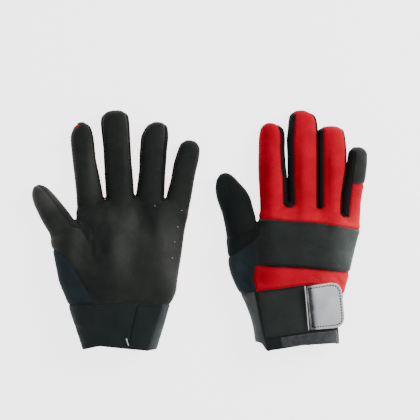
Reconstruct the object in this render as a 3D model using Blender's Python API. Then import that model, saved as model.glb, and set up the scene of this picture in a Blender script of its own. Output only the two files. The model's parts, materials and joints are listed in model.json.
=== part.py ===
"""A pair of short-cuff riding gloves: the left one palm up, the right one palm down.

Metres, +Z up. Both gloves lie on the plane Z = 0 with their fingers towards +Y and their
thumbs towards -X. Each glove is a sewn shell of separate panels round an open hand, five
open digits and an open cuff, with a pull tab over the cuff's back.
"""
import math
from collections import namedtuple

import bmesh
import bpy
from mathutils import Matrix, Vector

MM = 0.001

# ---- layers, in millimetres ----
SKIN = 1.4             # one panel: leather or stretch cloth with its inner facing
SEAM_GAP = 0.6         # clear line between two panels
FOAM = (2.9, 2.5)      # knuckle foam: height of its outer face above the skin, thickness
COVER = (5.0, 1.4)     # knuckle cover over the foam
LOOP = (1.3, 0.9)      # soft half of the hook-and-loop closure, sewn to the cuff
STRAP = (2.5, 1.6)     # fixed end of the wrist strap
ANCHOR = (1.5, 1.1)    # doubled panel that anchors the strap on the palm side
TAB_THICKNESS = 2.2
HOOK_THICKNESS = 0.9
TAB_CORNER = 7.0       # radius of the tab's two free corners
HOOK_CORNER = 5.0
HOOK_INSET = 3.0       # how far the hook patch stands inside the tab's edges
LAYER_GAP = 0.3
BACK_STACK = COVER[0]  # a glove that lies on its back rests on its knuckle cover
CUFF_LIFT = 1.7        # room under a cuff that lies palm down, for its strap anchor

# ---- section shape ----
HAND_POWER = 3.0       # superellipse exponent: 2 is an ellipse, higher is squarer
CUFF_POWER = 2.4
DIGIT_POWER = 2.4

# A section of the hand, from the thumb side to the little-finger side, with the heights of
# its back and palm skins.
Section = namedtuple("Section", "thumb_side little_side back palm power")

# A digit: the middle of its root line, its lean towards the little-finger side in degrees,
# its length, its width at the root and near the tip, and its height.
Digit = namedtuple("Digit", "x y lean length root_width tip_width height")

# A pull tab: the middle of its sewn edge, the lean of that edge in degrees, its length from
# that edge, its width along it, the height of its lower face there, and its droop in degrees.
Tab = namedtuple("Tab", "x y lean reach width height droop")

LEFT_SECTIONS = [
    Section((-116.5, -119.0), (-43.5, -118.6), 4.6, 42.0, CUFF_POWER),
    Section((-124.2, -95.0), (-36.2, -95.0), 4.6, 41.0, CUFF_POWER),
    Section((-130.5, -75.0), (-30.4, -76.0), 4.4, 38.0, CUFF_POWER),
    Section((-140.3, -51.0), (-23.5, -53.0), 4.2, 37.0, HAND_POWER),
    Section((-144.5, -30.0), (-20.0, -30.0), 4.2, 36.0, HAND_POWER),
    Section((-148.0, -9.0), (-17.0, -9.0), 4.2, 33.0, HAND_POWER),
    Section((-121.5, 8.0), (-14.0, 11.0), 4.2, 31.0, HAND_POWER),
    Section((-122.0, 27.3), (-12.0, 25.6), 4.4, 24.0, HAND_POWER),
]
RIGHT_SECTIONS = [
    Section((64.2, -119.6), (138.0, -113.7), 40.0, 1.2, CUFF_POWER),
    Section((54.0, -98.0), (137.5, -101.0), 39.0, 1.2, CUFF_POWER),
    Section((44.5, -73.0), (141.5, -73.0), 36.0, 1.2, CUFF_POWER),
    Section((37.0, -57.0), (144.5, -56.0), 35.0, -0.6, HAND_POWER),
    Section((29.3, -33.0), (151.0, -38.0), 34.0, -0.8, HAND_POWER),
    Section((26.0, -6.0), (158.0, -10.0), 31.0, -0.8, HAND_POWER),
    Section((59.0, 5.0), (159.8, 1.0), 29.0, -0.8, HAND_POWER),
    Section((60.0, 21.4), (161.2, 12.2), 24.0, -0.4, HAND_POWER),
]
# Where the sections of the hand stand in the lists above.
WRIST_PALM = 2.0       # bottom seam of the palm
WRIST_BACK = 2.9       # bottom seam of the lower back panel
BAND_LOW = 3.85        # lower edge of the knuckle band
THUMB_ROW = 5.0        # section through the thumb's root
CROTCH_ROW = 6.0       # section just past the thumb's crotch
BAND_HIGH = 6.2        # upper edge of the knuckle band
KNUCKLES = 7.0

# The knuckle line follows the roots of the four fingers.
LEFT_KNUCKLE_LINE = [(-122.0, 27.3), (-95.5, 31.1), (-65.2, 32.8), (-35.5, 30.6), (-12.0, 25.4)]
RIGHT_KNUCKLE_LINE = [(60.0, 21.6), (118.0, 21.6), (143.0, 20.6), (146.0, 13.0), (161.2, 11.7)]

# The gusset of the thumb ends at this distance from the thumb side, section by section from
# the palm's bottom seam to the thumb's root.
LEFT_GUSSET_WIDTH = [23.0, 24.0, 21.0, 24.6]
RIGHT_GUSSET_WIDTH = [14.0, 18.0, 26.5, 31.0]

LEFT_DIGITS = {
    "index": Digit(-109.2, 30.0, -8.3, 78.8, 25.8, 22.6, 20.0),
    "middle": Digit(-80.4, 33.0, -3.8, 86.6, 28.4, 26.4, 21.0),
    "ring": Digit(-50.3, 32.5, 4.5, 75.9, 28.0, 25.0, 20.0),
    "little": Digit(-23.5, 29.0, 12.7, 62.6, 23.2, 21.6, 18.0),
    "thumb": Digit(-136.0, 1.0, -31.0, 51.8, 29.0, 22.6, 23.0),
}
RIGHT_DIGITS = {
    "index": Digit(73.9, 22.5, -0.3, 84.8, 28.0, 26.6, 20.0),
    "middle": Digit(103.3, 22.5, 0.0, 97.2, 29.2, 28.0, 21.0),
    "ring": Digit(132.0, 22.5, -1.2, 81.2, 26.8, 24.4, 20.0),
    "little": Digit(154.0, 13.0, 4.4, 70.0, 15.4, 18.8, 21.0),
    "thumb": Digit(41.2, 1.0, -14.9, 58.4, 32.6, 28.6, 24.0),
}
LEFT_TAB = Tab(-76.0, -78.0, 3.0, 38.0, 41.0, 0.0, 0.0)
RIGHT_TAB = Tab(106.6, -77.2, 5.5, 37.5, 43.0, 42.6, 8.0)

Glove = namedtuple("Glove", "side up sections knuckle_line gusset_width digits tab")
GLOVES = [
    Glove("left", -1, LEFT_SECTIONS, LEFT_KNUCKLE_LINE, LEFT_GUSSET_WIDTH, LEFT_DIGITS, LEFT_TAB),
    Glove("right", 1, RIGHT_SECTIONS, RIGHT_KNUCKLE_LINE, RIGHT_GUSSET_WIDTH, RIGHT_DIGITS, RIGHT_TAB),
]

# ---- materials: colour, roughness ----
MATERIALS = {
    "red_stretch": ((0.60, 0.02, 0.03, 1.0), 0.75),
    "palm_leather": ((0.05, 0.052, 0.045, 1.0), 0.65),
    "navy_stretch": ((0.02, 0.03, 0.04, 1.0), 0.85),
    "black_mesh": ((0.012, 0.015, 0.013, 1.0), 0.85),
    "knuckle_leather": ((0.04, 0.045, 0.043, 1.0), 0.6),
    "foam": ((0.10, 0.10, 0.10, 1.0), 0.95),
    "grey_tip": ((0.045, 0.05, 0.048, 1.0), 0.7),
    "neoprene": ((0.03, 0.036, 0.035, 1.0), 0.8),
    "loop_fabric": ((0.06, 0.065, 0.07, 1.0), 0.95),
    "hook_plastic": ((0.02, 0.02, 0.02, 1.0), 0.6),
    "grey_tab": ((0.50, 0.50, 0.52, 1.0), 0.5),
}


def clear_scene():
    for item in list(bpy.data.objects):
        bpy.data.objects.remove(item, do_unlink=True)


def get_material(name):
    material = bpy.data.materials.get(name)
    if material is None:
        colour, roughness = MATERIALS[name]
        material = bpy.data.materials.new(name)
        material.use_nodes = True
        shader = material.node_tree.nodes["Principled BSDF"]
        shader.inputs["Base Color"].default_value = colour
        shader.inputs["Roughness"].default_value = roughness
        shader.inputs["Metallic"].default_value = 0.0
        material.diffuse_color = colour
    return material


def add_pivot(name, point):
    """An empty on a joint's axis; the pieces that turn there are its children."""
    empty = bpy.data.objects.new(name, None)
    empty.location = point * MM
    empty.empty_display_size = 0.01
    bpy.context.collection.objects.link(empty)
    return empty


def add_node(name, mesh_data, material, pivot=None):
    """Make one closed object from a bmesh in millimetres, with its origin on its pivot."""
    origin = Vector(pivot.location) / MM if pivot else Vector((0.0, 0.0, 0.0))
    bmesh.ops.translate(mesh_data, vec=-origin, verts=mesh_data.verts)
    bmesh.ops.scale(mesh_data, vec=(MM, MM, MM), verts=mesh_data.verts)
    bmesh.ops.recalc_face_normals(mesh_data, faces=mesh_data.faces)
    mesh = bpy.data.meshes.new(name)
    mesh_data.to_mesh(mesh)
    mesh_data.free()
    mesh.materials.append(get_material(material))
    mesh.shade_smooth()
    mesh.set_sharp_from_angle(angle=math.radians(40.0))
    node = bpy.data.objects.new(name, mesh)
    bpy.context.collection.objects.link(node)
    if pivot:
        node.parent = pivot
    return node


def signed_power(value, exponent):
    return math.copysign(abs(value) ** exponent, value)


def line_height(points, x):
    """Y of an open line of points at x, held level past its ends."""
    if x <= points[0][0]:
        return points[0][1]
    for (x0, y0), (x1, y1) in zip(points, points[1:]):
        if x <= x1:
            return y0 + (y1 - y0) * (x - x0) / (x1 - x0)
    return points[-1][1]


def angle_at(fraction, power):
    """Angle round a section at which it stands this fraction of its half width across."""
    return math.degrees(math.acos(signed_power(fraction, power / 2.0)))


def section_point(section, angle, lift):
    """A point round one section: 0 degrees is the little-finger side, 90 the back."""
    near = Vector(section.thumb_side)
    far = Vector(section.little_side)
    across = (far - near).normalized()
    half_width = (far - near).length / 2.0 + lift
    half_height = abs(section.back - section.palm) / 2.0 + lift
    up = 1.0 if section.back > section.palm else -1.0
    exponent = 2.0 / section.power
    run = half_width * signed_power(math.cos(math.radians(angle)), exponent)
    rise = half_height * signed_power(math.sin(math.radians(angle)), exponent)
    place = (near + far) / 2.0 + across * run
    return Vector((place.x, place.y, (section.back + section.palm) / 2.0 + up * rise))


def hand_surface(glove, thumb_edge=False):
    """The hand's skin as a function of section number, angle and height above the skin."""
    root = glove.digits["thumb"]
    slope = math.tan(math.radians(-root.lean))

    def surface(row, angle, lift):
        low = min(int(row), len(glove.sections) - 2)
        ends = []
        for number in (low, low + 1):
            point = section_point(glove.sections[number], angle, lift)
            if number == int(KNUCKLES):
                point.y = line_height(glove.knuckle_line, point.x)
            if number == int(THUMB_ROW) and thumb_edge:
                point.y = root.y - 2.0 * SEAM_GAP + (point.x - root.x) * slope
            ends.append(point)
        return ends[0].lerp(ends[1], row - low)

    return surface


def digit_surface(digit, glove):
    """A digit's skin: rows run from the root at 0 to the last straight row at 1, then 1 to 2
    round the tip."""
    lean = math.radians(digit.lean)
    along = Vector((math.sin(lean), math.cos(lean)))
    across = Vector((math.cos(lean), -math.sin(lean)))
    root = Vector((digit.x, digit.y))
    tip_radius = digit.tip_width / 2.0

    def surface(row, angle, lift):
        straight = digit.length - tip_radius
        width = digit.root_width + (digit.tip_width - digit.root_width) * min(row, 1.0)
        turn = math.radians(84.0) * max(row - 1.0, 0.0)
        reach = straight * min(row, 1.0) + (tip_radius + lift) * math.sin(turn)
        run = (width / 2.0 + lift) * math.cos(turn)
        rise = (digit.height / 2.0 + lift) * math.cos(turn)
        exponent = 2.0 / DIGIT_POWER
        run *= signed_power(math.cos(math.radians(angle)), exponent)
        rise *= signed_power(math.sin(math.radians(angle)), exponent)
        place = root + along * (reach + SEAM_GAP) + across * run
        return Vector((place.x, place.y, digit.height / 2.0 - 0.4 + glove.up * rise))

    return surface


def add_shell(name, surface, rows, columns, layer, floor, material, pivot=None):
    """A panel: a patch of a surface with a thickness.

    rows holds (row, first angle, last angle), layer the height of the outer face above the
    skin and the thickness, and floor the lowest the outer face may lie.
    """
    outer, thickness = layer
    grid = bmesh.new()
    sheets = []
    for lift, lowest in ((outer, floor), (outer - thickness, floor + thickness)):
        sheet = []
        for row, first, last in rows:
            line = []
            for column in range(columns + 1):
                angle = first + (last - first) * column / columns
                point = surface(row, angle, lift)
                point.z = max(point.z, lowest)
                line.append(grid.verts.new(point))
            sheet.append(line)
        sheets.append(sheet)
    skin, lining = sheets
    count = len(rows)
    for i in range(count - 1):
        for j in range(columns):
            grid.faces.new((skin[i][j], skin[i][j + 1], skin[i + 1][j + 1], skin[i + 1][j]))
            grid.faces.new((lining[i][j], lining[i + 1][j], lining[i + 1][j + 1], lining[i][j + 1]))
    for i in range(count - 1):
        for j in (0, columns):
            grid.faces.new((skin[i][j], skin[i + 1][j], lining[i + 1][j], lining[i][j]))
    for j in range(columns):
        for i in (0, count - 1):
            grid.faces.new((skin[i][j], skin[i][j + 1], lining[i][j + 1], lining[i][j]))
    return add_node(name, grid, material, pivot)


def gusset_angles(glove, row):
    """Angles at which the thumb gusset ends on the back and on the palm, at one row."""
    if row >= CROTCH_ROW:
        return 180.0, 180.0
    row = min(row, THUMB_ROW)
    widths = glove.gusset_width
    place = max(row - WRIST_PALM, 0.0)
    low = min(int(place), len(widths) - 2)
    width = widths[low] + (widths[low + 1] - widths[low]) * (place - low)
    section = glove.sections[min(int(round(row)), len(glove.sections) - 1)]
    half = (Vector(section.little_side) - Vector(section.thumb_side)).length / 2.0
    angle = angle_at(width / half - 1.0, section.power)
    return angle, 360.0 - angle


def angle_beside(glove, row, edge, clear):
    """Angle at which a section stands this far on the thumb side of the tab's sewn edge."""
    section = glove.sections[int(round(row))]
    near = Vector(section.thumb_side)
    far = Vector(section.little_side)
    centre = (near + far) / 2.0
    lean = math.tan(math.radians(glove.tab.lean))
    x = edge.x - (centre.y - edge.y) * lean - clear
    return angle_at((x - centre.x) / ((far - near).length / 2.0), section.power)


def floor_for(glove, layer, on_back, cuff=False):
    """Lowest place for a layer's outer face: the layers under it need their room."""
    if glove.up < 0 and on_back:
        return BACK_STACK - layer[0]
    if glove.up > 0 and not on_back and cuff:
        return CUFF_LIFT - layer[0]
    return 0.0


SIDE_CLEAR = 0.6         # degrees kept clear at the hand's two side seams
GUSSET_CLEAR = 1.0       # degrees kept clear at the gusset's seams
ROW_CLEAR = 0.025        # rows kept clear at a seam across the hand
BAND_FIRST = 38.0        # where the knuckle foam begins, in degrees from the little-finger side
BAND_LAST = 150.0        # and where it ends past the thumb's crotch
BAND_INSET = 4.0         # degrees between the foam and the gusset
COVER_PAST = (4.0, 1.5)  # degrees by which the cover reaches past its foam at either end
LOOP_FIRST = 38.0
LOOP_CLEAR = -2.0        # the loop patch runs this far under the tab's sewn edge, in millimetres
STRAP_LAST = 136.0
STRAP_CLEAR = 1.5        # the strap stops this far short of the tab's sewn edge, in millimetres

PALM_ROWS = (WRIST_PALM + ROW_CLEAR, 2.9, 3.9, THUMB_ROW, CROTCH_ROW, KNUCKLES)
BACK_ROWS = (BAND_LOW + ROW_CLEAR, THUMB_ROW, CROTCH_ROW, KNUCKLES)
LOWER_BACK_ROWS = (WRIST_BACK + ROW_CLEAR, BAND_LOW - ROW_CLEAR)
BAND_ROWS = (BAND_LOW, THUMB_ROW, CROTCH_ROW, BAND_HIGH)
GUSSET_LOW_ROWS = (WRIST_PALM + ROW_CLEAR, 2.86)
GUSSET_HIGH_ROWS = (2.99, 3.9, THUMB_ROW)
CUFF_BACK_ROWS = (0.0, 0.9, 1.9, WRIST_BACK - 2.0 * ROW_CLEAR)
CUFF_PALM_ROWS = (0.0, 1.0, WRIST_PALM - ROW_CLEAR)
LOOP_ROWS = (0.35, 1.2, 2.0, 2.7)
STRAP_ROWS = (1.0, 1.9, 2.8)
# The strap's anchor leans across the cuff: row, first and last angle.
ANCHOR_BAND = [(0.06, 283.0, 315.0), (1.0, 287.0, 320.0), (1.9, 290.0, 324.0)]


def gusset_clear(row):
    """The gusset ends at the thumb's crotch, and past it there is only a side seam."""
    return GUSSET_CLEAR if row < CROTCH_ROW else SIDE_CLEAR


def back_band(glove, rows):
    return [(row, SIDE_CLEAR, gusset_angles(glove, row)[0] - gusset_clear(row)) for row in rows]


def palm_band(glove, rows):
    return [(row, gusset_angles(glove, row)[1] + gusset_clear(row), 360.0 - SIDE_CLEAR) for row in rows]


def knuckle_bands(glove):
    """The foam of the knuckle band, and its cover, which reaches a little further."""
    foam = []
    for row in BAND_ROWS:
        last = gusset_angles(glove, row)[0] - BAND_INSET if row < CROTCH_ROW else BAND_LAST
        foam.append((row, BAND_FIRST, last))
    cover = [(row, first - COVER_PAST[0], last + COVER_PAST[1]) for row, first, last in foam]
    return foam, cover


def gusset_band(glove):
    """The gusset lies on the palm side below the back's wrist seam, and on both sides above it."""
    band = []
    for row in GUSSET_LOW_ROWS:
        band.append((row, 180.0 + SIDE_CLEAR, gusset_angles(glove, row)[1] - GUSSET_CLEAR))
    for row in GUSSET_HIGH_ROWS:
        first, last = gusset_angles(glove, row)
        band.append((row, first + GUSSET_CLEAR, last - GUSSET_CLEAR))
    return band


def add_hand(glove):
    """The panels of the hand and the cuff, which all stay together."""
    surface = hand_surface(glove)
    thumb_surface = hand_surface(glove, thumb_edge=True)
    skin = (0.0, SKIN)
    foam, cover = knuckle_bands(glove)
    cuff_back = [(row, SIDE_CLEAR, 180.0 - SIDE_CLEAR) for row in CUFF_BACK_ROWS]
    cuff_palm = [(row, 180.0 + SIDE_CLEAR, 360.0 - SIDE_CLEAR) for row in CUFF_PALM_ROWS]
    tab_edge = Vector((glove.tab.x, glove.tab.y))
    loop = [(row, LOOP_FIRST, angle_beside(glove, row, tab_edge, LOOP_CLEAR)) for row in LOOP_ROWS]
    strap = [(row, angle_beside(glove, row, tab_edge, STRAP_CLEAR), STRAP_LAST) for row in STRAP_ROWS]

    def add(label, band, columns, layer, on_back, material, cuff=False):
        floor = floor_for(glove, layer, on_back, cuff)
        add_shell(glove.side + label, surface, band, columns, layer, floor, material)

    add("_palm_panel", palm_band(glove, PALM_ROWS), 14, skin, False, "palm_leather")
    add("_back_panel", back_band(glove, BACK_ROWS), 14, skin, True, "red_stretch")
    add("_lower_back_panel", back_band(glove, LOWER_BACK_ROWS), 12, skin, True, "red_stretch")
    add("_knuckle_foam", foam, 10, FOAM, True, "foam")
    add("_knuckle_cover", cover, 10, COVER, True, "knuckle_leather")
    add_shell(glove.side + "_thumb_gusset", thumb_surface, gusset_band(glove), 8, skin, 0.0, "navy_stretch")
    add("_cuff_back", cuff_back, 14, skin, True, "neoprene")
    add("_cuff_palm", cuff_palm, 14, skin, False, "neoprene", cuff=True)
    add("_loop_patch", loop, 5, LOOP, True, "loop_fabric")
    add("_wrist_strap", strap, 7, STRAP, True, "neoprene")
    add("_strap_anchor", ANCHOR_BAND, 5, ANCHOR, False, "neoprene", cuff=True)


DIGIT_INSET = 0.4        # a palm-up digit's palm stands this far below its full height
FOLD_CLEAR = 0.2         # the fold's line stands this far outside the palm


def digit_pivot(name, digit, glove):
    """The fold at a digit's root, just outside its palm side."""
    palm_height = digit.height - DIGIT_INSET if glove.up < 0 else 0.0
    return add_pivot(name, Vector((digit.x, digit.y, palm_height - FOLD_CLEAR * glove.up)))


ROWS = (0.0, 0.45, 1.0, 1.35, 1.7, 2.0)
SIDE = (-32.0, 32.0)         # angles of a fourchette on the little-finger side
OTHER_SIDE = (148.0, 212.0)  # and on the thumb side
CLEAR = 2.5                  # degrees kept clear at a digit's seams
TIP_SPLIT = 0.55             # row where the little finger's tip panel begins
TIP_CLEAR = 0.01


def add_digit_panel(name, surface, angles, columns, material, pivot, rows=ROWS, clear=CLEAR):
    band = [(row, angles[0] + clear / 2.0, angles[1] - clear / 2.0) for row in rows]
    return add_shell(name, surface, band, columns, (0.0, SKIN), 0.0, material, pivot)


def add_digits(glove):
    """Five digits, each a tube of panels that folds at its root."""
    side = glove.side
    for finger, digit in glove.digits.items():
        surface = digit_surface(digit, glove)
        pivot = digit_pivot(side + "_" + finger + "_fold", digit, glove)
        label = side + "_" + finger
        back = [SIDE[1], OTHER_SIDE[0]]
        palm = [OTHER_SIDE[1], 360.0 + SIDE[0]]
        if finger == "index":
            back[1] = palm[0]
        if finger == "little":
            back[0] = SIDE[0]
        if finger == "thumb":
            add_digit_panel(label + "_back", surface, (0.0, 180.0), 8, "black_mesh", pivot)
            add_digit_panel(label + "_palm", surface, (180.0, 360.0), 8, "palm_leather", pivot)
            continue
        add_digit_panel(label + "_palm", surface, palm, 5, "palm_leather", pivot)
        if finger == "little":
            add_digit_panel(label + "_back", surface, back, 7, "red_stretch", pivot,
                            rows=(0.0, TIP_SPLIT - TIP_CLEAR))
            add_digit_panel(label + "_tip_panel", surface, back, 7, "grey_tip", pivot,
                            rows=(TIP_SPLIT + TIP_CLEAR,) + ROWS[2:])
        else:
            columns = 7 if finger == "index" else 5
            add_digit_panel(label + "_back", surface, back, columns, "red_stretch", pivot)
        if finger != "little":
            add_digit_panel(label + "_fourchette_little_side", surface, SIDE, 3, "black_mesh", pivot)
        if finger != "index":
            add_digit_panel(label + "_fourchette_thumb_side", surface, OTHER_SIDE, 3, "black_mesh", pivot)


def tab_outline(reach, width, radius, inset):
    """A plate's outline: a straight sewn edge at 0 and two round corners at the free end."""
    low = -width / 2.0 + inset
    high = width / 2.0 - inset
    end = reach - inset
    points = [(inset, high), (inset, low)]
    for centre_y, start in ((low + radius, -90.0), (high - radius, 0.0)):
        for step in range(5):
            turn = math.radians(start + 90.0 * step / 4.0)
            points.append((end - radius + radius * math.cos(turn), centre_y + radius * math.sin(turn)))
    return points


def add_plate(name, outline, low, high, place, material, pivot):
    plate = bmesh.new()
    base = [plate.verts.new((x, y, low)) for x, y in outline]
    face = plate.faces.new(base)
    raised = bmesh.ops.extrude_face_region(plate, geom=[face])
    top = [item for item in raised["geom"] if isinstance(item, bmesh.types.BMVert)]
    bmesh.ops.translate(plate, vec=(0.0, 0.0, high - low), verts=top)
    bmesh.ops.transform(plate, matrix=place, verts=plate.verts)
    return add_node(name, plate, material, pivot)


def add_tab(glove):
    """The pull tab and the hook patch under it, which peel up from the cuff's loop patch."""
    tab = glove.tab
    pivot = add_pivot(glove.side + "_tab_peel", Vector((tab.x, tab.y, tab.height)))
    place = Matrix.Translation((tab.x, tab.y, tab.height))
    place = place @ Matrix.Rotation(math.radians(tab.lean), 4, "Z")
    place = place @ Matrix.Rotation(math.radians(tab.droop), 4, "Y")
    outline = tab_outline(tab.reach, tab.width, TAB_CORNER, 0.0)
    patch = tab_outline(tab.reach, tab.width, HOOK_CORNER, HOOK_INSET)
    add_plate(glove.side + "_pull_tab", outline, 0.0, TAB_THICKNESS, place, "grey_tab", pivot)
    # The hook patch faces the cuff: above a tab that lies under its glove, below one on top.
    hook = -LAYER_GAP - HOOK_THICKNESS if glove.up > 0 else TAB_THICKNESS + LAYER_GAP
    add_plate(glove.side + "_hook_patch", patch, hook, hook + HOOK_THICKNESS, place, "hook_plastic", pivot)


def main():
    clear_scene()
    for glove in GLOVES:
        add_hand(glove)
        add_digits(glove)
        add_tab(glove)


main()
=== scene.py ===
"""Looks of a pair of riding gloves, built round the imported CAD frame. Lengths are in mm unless said."""

import math
from functools import partial

import bpy
import numpy as np
from mathutils import Matrix, Vector
from mathutils.bvhtree import BVHTree
from mathutils.kdtree import KDTree
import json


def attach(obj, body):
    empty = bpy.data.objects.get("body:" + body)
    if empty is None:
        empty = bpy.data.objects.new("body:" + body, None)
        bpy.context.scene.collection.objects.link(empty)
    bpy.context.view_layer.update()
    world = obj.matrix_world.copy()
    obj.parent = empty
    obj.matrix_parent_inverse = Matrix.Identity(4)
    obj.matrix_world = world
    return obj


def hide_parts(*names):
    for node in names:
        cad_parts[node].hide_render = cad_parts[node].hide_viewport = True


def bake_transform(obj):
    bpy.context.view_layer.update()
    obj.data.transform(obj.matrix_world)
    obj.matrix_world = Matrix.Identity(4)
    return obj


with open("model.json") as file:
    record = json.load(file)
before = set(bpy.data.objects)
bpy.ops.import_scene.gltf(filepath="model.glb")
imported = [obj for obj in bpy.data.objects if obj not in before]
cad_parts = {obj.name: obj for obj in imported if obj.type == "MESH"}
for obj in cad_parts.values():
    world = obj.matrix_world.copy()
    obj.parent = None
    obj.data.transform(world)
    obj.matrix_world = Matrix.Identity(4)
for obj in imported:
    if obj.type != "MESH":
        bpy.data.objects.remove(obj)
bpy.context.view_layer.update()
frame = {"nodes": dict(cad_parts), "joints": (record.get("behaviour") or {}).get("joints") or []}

MM = 0.001
CELL = 1.0             # grid of the sculpted skin
SKIN = 1.3             # thickness of a sewn panel
CUFF_SKIN = 2.2        # thickness of the cuff's neoprene
GROOVE = 0.75          # depth of a seam's valley
GROOVE_WIDTH = 1.3
PUFF = 0.35            # how far a panel rises between its seams
PUFF_REACH = 3.0
SEAM_FADE = 5.0        # folds and unevenness fade out this close to a seam
SIDES = ("left", "right")
FINGERS = ("index", "middle", "ring", "little")
DIGITS = FINGERS + ("thumb",)

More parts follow.
